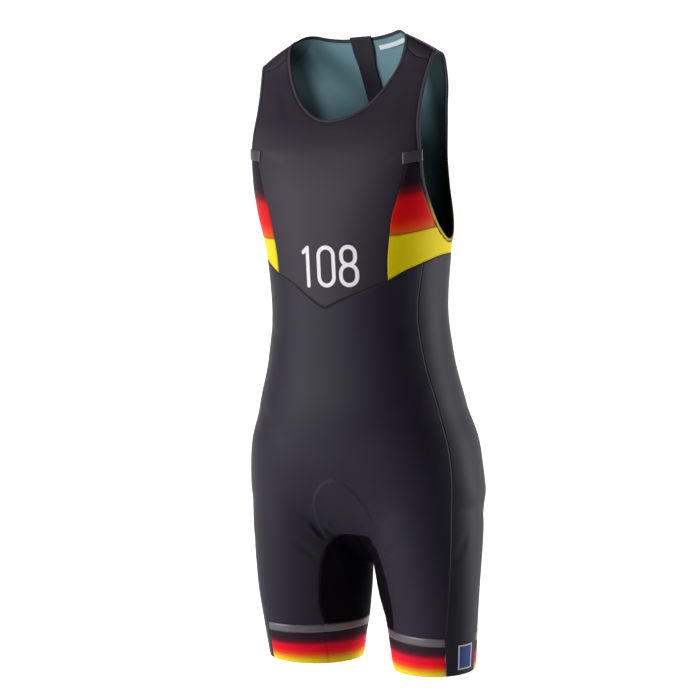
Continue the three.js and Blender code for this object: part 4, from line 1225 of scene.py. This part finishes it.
@dataclass
class Sheet:
    """A piece of cloth from grids of points, with its wall turned to the inside."""

    name: str
    node: str
    grids: list[Points]
    finishes: tuple[Finish, ...]
    slot: str
    relief: Relief
    thickness: float = 1.2
    lift: float = 0.0
    inset: float = 0.03
    extra: Callable[[Points], Values] | None = None
    printed: Callable[[Points], Values] | None = None
    # whether the distances that its finish reads are from its own edge, and whether it goes without relief
    by_edge: bool = False
    flat_relief: bool = False

    def build(self) -> bpy.types.Object:
        """Builds the cloth."""
        bm = bmesh.new()
        layers = {key: bm.verts.layers.float.new(key) for key in ("seam", "print")}
        bm.loops.layers.uv.new("cloth")
        for grid in self.grids:
            self._add(bm, grid, layers)
        bmesh.ops.remove_doubles(bm, verts=bm.verts, dist=2e-5)
        self._inset(bm)
        obj = piece(self.name, bm, self.finishes)
        wall = obj.modifiers.new("wall", "SOLIDIFY")
        wall.thickness = self.thickness * MM
        wall.offset = -1
        wall.material_offset = len(self.finishes) - 1
        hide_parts(self.node)
        return obj

    def _add(self, bm: bmesh.types.BMesh, grid: Points, layers: dict) -> None:
        """Adds one grid, faces outwards."""
        middle = grid[:-1, :-1] + grid[1:, 1:]
        turn = np.cross(grid[1:, 1:] - grid[:-1, :-1], grid[1:, :-1] - grid[:-1, 1:])
        if (unit(turn) * FORM.outward(middle / 2)).sum() < 0:
            grid = grid[:, ::-1]
        rows, columns = grid.shape[0] - 1, grid.shape[1] - 1
        flat = grid.reshape(-1, 3)
        normals = FORM.outward(flat)
        distance = self._edge(grid) if self.by_edge else self.relief.seam_distance(flat)
        height = np.full(len(flat), self.lift)
        if not self.flat_relief:
            height += self.relief.height(flat, distance + 99 * self.by_edge)
        if self.extra is not None:
            height = height + self.extra(grid).reshape(-1)
        placed = ((flat + normals * height[:, None]) * MM).reshape(rows + 1, columns + 1, 3)
        distance = distance.reshape(rows + 1, columns + 1)
        printed = self.printed(grid) if self.printed is not None else np.zeros(distance.shape)
        made = bmesh.ops.create_grid(bm, x_segments=columns, y_segments=rows, size=0.5, calc_uvs=True)["verts"]
        width = np.linalg.norm(np.diff(grid, axis=1), axis=-1).sum(1).mean() * MM
        length = np.linalg.norm(np.diff(grid, axis=0), axis=-1).sum(0).mean() * MM
        uv = bm.loops.layers.uv["cloth"]
        faces = {face for vert in made for face in vert.link_faces}
        for face in faces:
            for loop in face.loops:
                loop[uv].uv = ((loop.vert.co.x + 0.5) * width, (loop.vert.co.y + 0.5) * length)
        for vert in made:
            i, j = round((vert.co.x + 0.5) * columns), round((vert.co.y + 0.5) * rows)
            vert.co = placed[j, i]
            vert[layers["seam"]] = distance[j, i]
            vert[layers["print"]] = printed[j, i]

    @staticmethod
    def _edge(grid: Points) -> Values:
        """Distances to the grid's own edge."""
        across_steps = np.linalg.norm(np.diff(grid, axis=1), axis=-1)
        up_steps = np.linalg.norm(np.diff(grid, axis=0), axis=-1)
        u = np.concatenate([np.zeros((grid.shape[0], 1)), np.cumsum(across_steps, 1)], 1)
        v = np.concatenate([np.zeros((1, grid.shape[1])), np.cumsum(up_steps, 0)], 0)
        return np.minimum(np.minimum(u, u[:, -1:] - u), np.minimum(v, v[-1:] - v)).reshape(-1)

    def _inset(self, bm: bmesh.types.BMesh) -> None:
        """Draws the cloth's edge in by a hair, so it only just meets its neighbour."""
        edge = [vert for vert in bm.verts if vert.is_boundary]
        targets = [sum((f.calc_center_median() for f in v.link_faces), Vector()) / len(v.link_faces) for v in edge]
        for vert, target in zip(edge, targets):
            vert.co += (target - vert.co).normalized() * (self.inset * MM)


@dataclass
class Turns:
    """Many small rounded bars in one piece: stitches or the turns of a zip's coil."""

    name: str
    finish: Finish
    # half length, half width and half height
    size: tuple[float, float, float]
    whole: bmesh.types.BMesh = field(default_factory=bmesh.new)

    def add(self, places: Points, along: Points, normals: Points) -> None:
        """Adds a row of bars.

        Args:
            places: their middles.
            along: the direction of each.
            normals: the cloth's outward directions.
        """
        part = bmesh.new()
        size = Matrix.Diagonal((*(value * MM for value in self.size), 1))
        for place, ahead, normal in zip(places, along, normals):
            turn = Matrix((ahead, np.cross(normal, ahead), normal)).transposed().to_4x4()
            matrix = Matrix.Translation(Vector(place * MM)) @ turn @ size
            bmesh.ops.create_icosphere(part, subdivisions=1, radius=1.0, matrix=matrix)
        mesh = bpy.data.meshes.new("row")
        part.to_mesh(mesh)
        part.free()
        self.whole.from_mesh(mesh)
        bpy.data.meshes.remove(mesh)

    def build(self) -> bpy.types.Object:
        """Makes the object."""
        return piece(self.name, self.whole, (self.finish,))


@dataclass
class Stitching:
    """Rows of short stitches beside lines."""

    name: str
    relief: Relief
    finish: Finish = Finish.THREAD
    size: tuple[float, float, float] = (1.15, 0.3, 0.24)
    pitch: float = 3.1
    sink: float = 0.05

    def build(self, lines: Sequence[tuple[Points, Sequence[float]]]) -> bpy.types.Object:
        """Sews.

        Args:
            lines: each line with the distances of its rows to its sides.

        Returns:
            The object of all stitches.
        """
        turns = Turns(self.name, self.finish, self.size)
        for line, rows in lines:
            for row in rows:
                beside = moved(line, row)
                total = np.linalg.norm(np.diff(beside, axis=0), axis=1).sum()
                places = equal_steps(beside, 2 * max(int(total / self.pitch), 1))
                middles = places[1::2]
                normals = FORM.outward(middles)
                height = self.relief.height(middles, self.relief.seam_distance(middles)) - self.sink
                turns.add(middles + normals * height[:, None], unit(places[2::2] - places[:-2:2]), normals)
        return turns.build()


# ---------------------------------------------------------------- sub-assemblies

@dataclass(frozen=True)
class Cut:
    """A sheet's flat cut in metres, its area in square metres, and the narrow pieces sewn to it."""

    size: tuple[float, float]
    area: float | None = None
    sewn: tuple[str, ...] = ()


@dataclass
class Bench:
    """What every sub-assembly shares: the cut, the relief and the pieces made so far."""

    pattern: Pattern = field(default_factory=Pattern)
    relief: Relief = field(default_factory=Relief)
    made: dict[str, bpy.types.Object] = field(default_factory=dict)
    cuts: tuple = (
        ("front_upper", Cut((0.41, 0.38), 0.063, ("neck_binding", "chest_tab_left", "chest_tab_right"))),
        ("front_lower", Cut((0.36, 0.60), 0.150)),
        ("back_lower", Cut((0.455, 0.61), 0.188)),
        ("back_upper", Cut((0.143, 0.387), 0.038, ("zip_tape",))),
        ("shoulder_yoke", Cut((0.075, 0.066), 0.0033)),
        ("side_upper", Cut((0.20, 0.16), 0.0121, ("armhole_binding",))),
        ("side_lower", Cut((0.095, 0.61), 0.045, ("leg_badge",))),
        ("inner_leg", Cut((0.157, 0.175), 0.0178)),
        ("leg_tape_front", Cut((0.094, 0.012))),
        ("leg_tape_inner", Cut((0.116, 0.012))),
        ("leg_tape_back", Cut((0.166, 0.012))),
        ("leg_band_front", Cut((0.094, 0.048), 0.0043)),
        ("leg_band_inner", Cut((0.112, 0.050), 0.0050)),
        ("leg_band_back", Cut((0.164, 0.049), 0.0073)),
        ("zip_guard", Cut((0.030, 0.40), 0.0113)),
    )

    def prepare(self) -> None:
        """Works out the cut and remembers the seams."""
        self.pattern.make()
        lines = self.pattern.lines
        middle = ("neck_seam", "point_front")
        flush = ("neck_edge", "arm_edge", "side_front", "side_back", *middle)
        left = [line for name, line in lines.items() if name not in flush]
        self.relief.remember([*left, *(FORM.on_right(line) for line in left), *(lines[name] for name in middle)])

    def cloth(self, node: str, grids: list[Points], finishes: tuple[Finish, ...], slot: str, **more) -> None:
        """Builds a cloth piece that stands for a CAD node."""
        self.made[node] = Sheet(f"{node}_cloth", node, grids, finishes, slot, self.relief, **more).build()

    def declare(self) -> None:
        """Gathers, for each sheet, the narrow pieces sewn to it; nothing further is done with them."""
        for kind, cut in self.cuts:
            for side in ("", "_left", "_right"):
                if kind + side in self.made:
                    sewn = [self.made[key] for name in cut.sewn for key in {name, name + side}
                            if key in self.made and (key != "leg_badge" or side == "_left")]


@dataclass
class Panels:
    """The cloth panels of body and legs."""

    bench: Bench
    looks: tuple = (
        ("front_upper", Finish.UPPER, Finish.INSIDE_DARK, "upper_fabric"),
        ("front_lower", Finish.LOWER, Finish.INSIDE_DARK, "lower_fabric"),
        ("back_lower", Finish.LOWER, Finish.INSIDE_DARK, "lower_fabric"),
        ("back_upper", Finish.BACK, Finish.INSIDE, "upper_fabric"),
        ("shoulder_yoke", Finish.BACK, Finish.INSIDE, "upper_fabric"),
        ("side_upper", Finish.SIDE, Finish.INSIDE_DARK, "side_fabric"),
        ("side_lower", Finish.STRIP, Finish.INSIDE_DARK, "lower_fabric"),
        ("inner_leg", Finish.SHADE, Finish.INSIDE_DARK, "lower_fabric"),
    )
    # the print's bands stand higher at the side than at the front seam
    print_rise: float = 10
    print_front: float = -70
    print_reach: float = 154

    def build(self) -> None:
        """Builds them all."""
        for kind, outer, inner, slot in self.looks:
            for node, grids in self.bench.pattern.grids.items():
                if node in (kind, f"{kind}_left", f"{kind}_right"):
                    printed = self._side_print if kind == "side_upper" else None
                    self.bench.cloth(node, grids, (outer, inner), slot, printed=printed)

    def _side_print(self, grid: Points) -> Values:
        """The printed height on a side panel."""
        share = np.clip((grid[..., 1] - self.print_front) / self.print_reach, 0, 1)
        return grid[..., 2] - self.print_rise * np.sin(share * math.pi)


@dataclass
class LegTrims:
    """The reflective tapes and the gripper bands of both legs, and the badge."""

    bench: Bench
    tape_lift: float = 0.25
    rib_pitch: float = 3.2
    rib_height: float = 0.16
    badge_angle: float = -0.46
    badge_size: tuple[float, float] = (22, 36)
    badge_z: float = -871
    leg_radius: float = 70
    badge_lift: float = 1.2

    def build(self) -> None:
        """Builds them all."""
        pattern = self.bench.pattern
        for node, grids in pattern.grids.items():
            if node.startswith("leg_tape"):
                self.bench.cloth(node, grids, (Finish.TAPE, Finish.INSIDE_DARK), "reflective_tape",
                                 lift=self.tape_lift)
            if node.startswith("leg_band"):
                self.bench.cloth(node, grids, (Finish.BAND, Finish.INSIDE_DARK), "band_fabric", extra=self._ribs,
                                 printed=self._band_print)
        along, up = np.meshgrid(np.linspace(-0.5, 0.5, 25), np.linspace(-0.5, 0.5, 37))
        width, height = self.badge_size
        grid = pattern.leg_point(self.badge_angle + along * width / self.leg_radius, self.badge_z + up * height)
        self.bench.cloth("leg_badge", [grid], (Finish.BADGE,), "badge_print", thickness=0.8,
                         lift=self.badge_lift, by_edge=True)

    def _band_print(self, grid: Points) -> Values:
        """The printed height on a leg band, which follows the hem."""
        pattern = self.bench.pattern
        rows = np.linspace(pattern.band_top - pattern.tape_height, pattern.hem_z, grid.shape[0])
        return np.broadcast_to(rows[:, None], grid.shape[:2])

    def _ribs(self, grid: Points) -> Values:
        """Fine upright ribs of a leg band."""
        run = np.concatenate([[0], np.cumsum(np.linalg.norm(np.diff(grid[0], axis=0), axis=1))])
        rows = np.linspace(0, 1, grid.shape[0])[:, None]
        fade = smoothstep(rows, 0.0, 0.12) * (1 - 0.5 * smoothstep(rows, 0.85, 1.0))
        return self.rib_height * np.sin(run * 2 * math.pi / self.rib_pitch)[None] * fade


@dataclass
class Edges:
    """The folded bindings of neck and armholes, the chest tabs and the label inside the neck."""

    bench: Bench
    bulge: float = 0.75
    sink: float = 0.35
    tab_height: float = 16
    tab_lift: float = 1.6
    tab_reach: float = 5
    label_below: float = 13
    label_height: float = 7
    label_depth: float = -2.9

    def build(self) -> None:
        """Builds them all."""
        pattern, lines = self.bench.pattern, self.bench.pattern.lines
        arm = [np.concatenate([lines[key], lines[key][:1]]) for key in ("arm_seam", "arm_edge")]
        for node, pair, look in (("neck_binding", [lines["neck_seam"], lines["neck_edge"]], Finish.NECK),
                                 ("armhole_binding_left", arm, Finish.ARM),
                                 ("armhole_binding_right", [FORM.on_right(line) for line in arm], Finish.ARM)):
            share = np.linspace(0, 1, 7)[:, None, None]
            grid = FORM.lay(pair[0][None] * (1 - share) + pair[1][None] * share)
            grid[0], grid[-1] = pair
            self.bench.cloth(node, [grid], (look,), "edge_binding", thickness=2.1, inset=-0.4, by_edge=True,
                             extra=self._round)
        start = lines["tab"][:1] + self.tab_reach * unit(lines["tab"][:1] - lines["tab"][-1:])
        foot = np.concatenate([start, lines["tab"], lines["arm_edge"][11 * pattern.fine][None]])
        rise = np.linspace(0, self.tab_height, 15)[:, None, None] * np.array([0.0, 0, 1])
        tab = FORM.lay(equal_steps(foot, 18)[None] + rise, Hold.LEVEL)
        for side, grid in (("left", tab), ("right", FORM.on_right(tab))):
            self.bench.cloth(f"chest_tab_{side}", [grid], (Finish.TAB,), "reflective_tape", thickness=0.9,
                             lift=self.tab_lift, by_edge=True)
        strip = seam(pattern.neck_edge_rows, 40, start=1, stop=3)
        downs = np.linspace(self.label_below, self.label_below + self.label_height, 8)
        self.bench.cloth("neck_label", [np.array([moved(strip, down) for down in downs])], (Finish.LABEL,),
                         "label_fabric", thickness=0.6, lift=self.label_depth, by_edge=True)

    def _round(self, grid: Points) -> Values:
        """The rounded back of a folded binding."""
        share = np.linspace(-1, 1, grid.shape[0])[:, None]
        return (self.bulge * (1 - share ** 4) - self.sink) * np.ones(grid.shape[:2])


@dataclass
class Zip:
    """The zip down the back: tapes, guard, coil, slider and pull tab."""

    bench: Bench
    tape_sink: float = 0.1
    # the guard's reach to the wearer's right and left of the zip, at its top and further down
    guard_top: tuple[float, float] = (-13, 22)
    guard_low: tuple[float, float] = (-10, 18)
    guard_turn: tuple[float, float] = (-6, -34)
    guard_depth: float = -2.3
    guard_rise: float = 4
    tooth_pitch: float = 1.35
    tooth_size: tuple[float, float, float] = (1.15, 0.42, 0.55)
    tooth_out: float = 0.85
    bevel: float = 0.35

    def build(self) -> None:
        """Builds its pieces and dresses the metal."""
        pattern, lines = self.bench.pattern, self.bench.pattern.lines
        top = lines["neck_edge"][0]
        long = joined(lines["zip_edge"], equal_steps(np.array([lines["zip_edge"][-1], top]), 3))
        tape = np.array([self._beside(long, share * pattern.zip_half) for share in np.linspace(0, 1, 6)])
        for side, grid in (("left", tape), ("right", FORM.on_right(tape))):
            self.bench.cloth(f"zip_tape_{side}", [grid], (Finish.ZIP,), "zip_tape", thickness=1.0,
                             lift=-self.tape_sink)
        guard_line = joined(long, np.array([top, top + np.array([0, 0, self.guard_rise])]))
        high = smoothstep(guard_line[:, 2], self.guard_turn[1], self.guard_turn[0])
        left, right = (low + (top - low) * high for low, top in zip(self.guard_low, self.guard_top))
        guard = np.array([self._beside(guard_line, left + share * (right - left)) for share in np.linspace(0, 1, 25)])
        self.bench.cloth("zip_guard", [guard], (Finish.GUARD,), "zip_tape", thickness=1.3, lift=self.guard_depth,
                         by_edge=True)
        self._teeth(self._beside(long, 0.0))
        for node in ("zip_slider", "zip_pull_tab"):
            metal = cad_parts[node]
            metal.data.materials.clear()
            metal.data.materials.append(Finish.METAL.get())
            edge = metal.modifiers.new("edges", "BEVEL")
            edge.width = self.bevel * MM
            edge.segments = 2
            edge.limit_method = "ANGLE"

    @staticmethod
    def _beside(line: Points, x: Values | float) -> Points:
        """A line's image at distances from the middle of the back."""
        p = line.copy()
        p[:, 0] = x
        return FORM.lay(p, Hold.UPRIGHT)

    def _teeth(self, line: Points) -> None:
        """Sets the coil's turns, left and right in turn."""
        total = np.linalg.norm(np.diff(line, axis=0), axis=1).sum()
        places = equal_steps(line, int(total / self.tooth_pitch))
        side = np.where(np.arange(len(places)) % 2, 1.0, -1.0)[:, None] * np.array([0.5, 0, 0])
        normals = FORM.outward(places)
        across = np.tile([1.0, 0.0, 0.0], (len(places), 1))
        turns = Turns("zip_coil", Finish.TEETH, self.tooth_size)
        turns.add(places + side + normals * self.tooth_out, across, normals)
        self.bench.made["zip_coil"] = turns.build()


@dataclass
class SeatPad:
    """The foam pad inside the crotch, with sewn channels."""

    bench: Bench
    coarse: int = 2
    sideways: int = 3
    up_front: int = 2
    up_back: int = 3
    below: int = 1
    depth: float = 2.9
    wall: float = 4.4
    channel: float = 1.5

    def build(self) -> None:
        """Builds the pad under the panels' own points."""
        f = self.bench.pattern.fine
        grids = self.bench.pattern.grids
        rows = []
        for name, up in (("front_lower", self.up_front), ("back_lower", self.up_back)):
            body, leg = grids[name][:2]
            middle = (body.shape[1] - 1) // 2
            rows.append(body[:up * f + 1, middle - self.sideways * f:middle + self.sideways * f + 1])
            rows.append(leg[(6 - self.below) * f:, -1 - self.sideways * f:])
            rows.append(FORM.on_right(rows[-1]))
        inner = grids["inner_leg_left"][0][-1 - self.below * f:]
        rows += [inner, FORM.on_right(inner)]
        self.bench.cloth("seat_pad", [grid[::self.coarse, ::self.coarse] for grid in rows], (Finish.PAD,),
                         "pad_fabric", thickness=self.wall, lift=-self.depth, extra=self._channels, flat_relief=True)

    def _channels(self, grid: Points) -> Values:
        """Channels sewn along the pad, and a dip all round its outline."""
        inside = self.bench.relief.pad(grid.reshape(-1, 3)).reshape(grid.shape[:2])
        beside = np.abs(np.abs(grid[..., 0]) - 14)
        return -self.channel * (np.exp(-((beside / 2.2) ** 2)) + np.exp(-(((inside - 9) / 2.4) ** 2))) * 0.2


@dataclass
class Sewing:
    """Rows of stitches beside the seams."""

    bench: Bench
    beside: float = 1.9
    binding_row: float = 1.4
    zip_row: float = 2.2

    def build(self) -> None:
        """Sews the whole suit."""
        relief, lines = self.bench.relief, self.bench.pattern.lines
        both = (self.beside, -self.beside)
        halves = {
            "chest": (lines["chest"], lines["back_seam"]),
            "rib": (lines["rib"], lines["point_back"]),
            "side": (lines["side_front"], lines["side_back"]),
            "inner_leg": (lines["inner_front"], lines["inner_back"]),
            "yoke": (lines["yoke_front"], lines["yoke_back"]),
        }
        for name, group in halves.items():
            rows = [(line, both) for half in group for line in (half, FORM.on_right(half))]
            if name == "rib":
                rows.append((lines["point_front"], both))
            Stitching(f"{name}_stitches", relief).build(rows)
        arm = np.concatenate([lines["arm_seam"], lines["arm_seam"][:1]])
        edges = [(arm, (self.binding_row,)), (FORM.on_right(arm), (-self.binding_row,))]
        Stitching("armhole_stitches", relief).build(edges)
        Stitching("neck_stitches", relief, Finish.PALE_THREAD).build([(lines["neck_seam"], (-self.binding_row,))])
        left = lines["zip_edge"]
        zip_rows = [(left, (self.zip_row,)), (FORM.on_right(left), (-self.zip_row,))]
        Stitching("zip_stitches", relief).build(zip_rows)


@dataclass
class Studio:
    """The floor, the light and the camera."""

    yaw: float = 29.5
    tilt: float = 5.5
    roll: float = 2.43
    distance: float = 2.5
    lens: float = 88.66
    aim: tuple[float, float] = (-0.0152, -0.44)
    floor_z: float = -1.4
    floor_reach: float = 7
    cove: float = 2.5
    # the floor begins to glow between these distances behind the suit
    glow_from: tuple[float, float] = (0.5, 1.3)
    room: float = 0.07
    backdrop: Colour = colour("f7f7f8")
    # name, place, what it faces, size, power and the spread of its beam in degrees
    lamps: tuple = (
        ("window", (-2.15, -2.15, 0.0), (0, 0, -0.45), (1.3, 2.0), 82, 180),
        ("chest", (-0.5, -2.5, 0.45), (0.02, 0, -0.1), (0.5, 0.5), 0.6, 34),
        ("strip", (1.75, 1.1, -0.3), (0, 0, -0.45), (0.5, 1.9), 36, 180),
    )

    def floor(self) -> None:
        """Lays a pale floor that curves up into a backdrop behind the suit."""
        g = Graph("pale_floor")
        cloud = g.noise(3.0, 2.0)
        shade = g.shade(self.backdrop, 0.985 + cloud * 0.03)
        x, y, _ = g.place()
        yaw = math.radians(self.yaw)
        behind = (y * math.cos(yaw) - x * math.sin(yaw)).step(*self.glow_from)
        seen = Flow(g, g.node("ShaderNodeLightPath", {}, {}).outputs["Is Camera Ray"])
        material = g.finish(Base_Color=shade, Roughness=0.9 + cloud * 0.05, Normal=g.bump(cloud, 0.0002),
                            Emission_Color=g.shade(shade, behind.at_least(seen)), Emission_Strength=1.0)
        bm = bmesh.new()
        reach = self.floor_reach
        bmesh.ops.create_grid(bm, x_segments=1, y_segments=1, size=reach,
                              matrix=Matrix.Translation((0, 0, self.floor_z)))
        far = [edge for edge in bm.edges if all(vert.co.y > 0 for vert in edge.verts)]
        made = bmesh.ops.extrude_edge_only(bm, edges=far)["geom"]
        top = [item for item in made if isinstance(item, bmesh.types.BMVert)]
        bmesh.ops.translate(bm, verts=top, vec=(0, 0, reach))
        bmesh.ops.bevel(bm, geom=far, offset=self.cove, segments=16, profile=0.5, affect="EDGES", material=-1)
        bmesh.ops.rotate(bm, verts=bm.verts, cent=(0, 0, 0), matrix=Matrix.Rotation(math.radians(self.yaw), 3, "Z"))
        mesh = bpy.data.meshes.new("floor")
        for face in bm.faces:
            face.smooth = True
        bm.to_mesh(mesh)
        bm.free()
        mesh.materials.append(material)
        obj = bpy.data.objects.new("floor", mesh)
        bpy.context.scene.collection.objects.link(obj)

    @staticmethod
    def lamp(name: str, place: Sequence[float], facing: Sequence[float], size: Sequence[float], power: float,
             spread: float) -> None:
        """Sets up a soft square lamp."""
        data = bpy.data.lights.new(name, "AREA")
        data.shape = "RECTANGLE"
        data.size, data.size_y = size
        data.energy = power
        data.spread = math.radians(spread)
        obj = bpy.data.objects.new(name, data)
        bpy.context.scene.collection.objects.link(obj)
        spot = Vector(place)
        turn = (Vector(facing) - spot).to_track_quat("-Z", "Y").to_matrix().to_4x4()
        obj.matrix_world = Matrix.Translation(spot) @ turn

    def light(self) -> None:
        """Sets up the lamps and the dim room."""
        world = bpy.data.worlds.new("room")
        world.use_nodes = True
        background = world.node_tree.nodes["Background"]
        background.inputs[0].default_value = (*self.backdrop, 1)
        seen = world.node_tree.nodes.new("ShaderNodeLightPath").outputs["Is Camera Ray"]
        strength = world.node_tree.nodes.new("ShaderNodeMapRange")
        strength.inputs["To Min"].default_value = self.room
        world.node_tree.links.new(seen, strength.inputs["Value"])
        world.node_tree.links.new(strength.outputs["Result"], background.inputs[1])
        bpy.context.scene.world = world
        bpy.context.scene.view_settings.view_transform = "Standard"
        for lamp in self.lamps:
            self.lamp(*lamp)

    def camera(self) -> None:
        """Places the camera."""
        yaw, tilt, roll = (math.radians(a) for a in (self.yaw, self.tilt, self.roll))
        ahead = Vector((-math.sin(yaw) * math.cos(tilt), math.cos(yaw) * math.cos(tilt), -math.sin(tilt)))
        level = Vector((math.cos(yaw), math.sin(yaw), 0))
        above = level.cross(ahead)
        right = math.cos(roll) * level - math.sin(roll) * above
        up = math.sin(roll) * level + math.cos(roll) * above
        place = Vector((0, 0, self.aim[1])) - self.distance * ahead + self.aim[0] * level
        data = bpy.data.cameras.new("camera")
        data.lens = self.lens
        data.sensor_width = 36
        obj = bpy.data.objects.new("camera", data)
        bpy.context.scene.collection.objects.link(obj)
        obj.matrix_world = Matrix.Translation(place) @ Matrix((right, up, -ahead)).transposed().to_4x4()
        bpy.context.scene.camera = obj


def main() -> None:
    """Builds the suit, the light and the camera."""
    logging.basicConfig(level=logging.INFO, format="%(message)s")
    bench = Bench()
    bench.prepare()
    for assembly in (Panels, LegTrims, Edges, Zip, SeatPad, Sewing):
        assembly(bench).build()
    bench.declare()
    studio = Studio()
    studio.floor()
    studio.light()
    studio.camera()


if __name__ == "__main__":
    main()
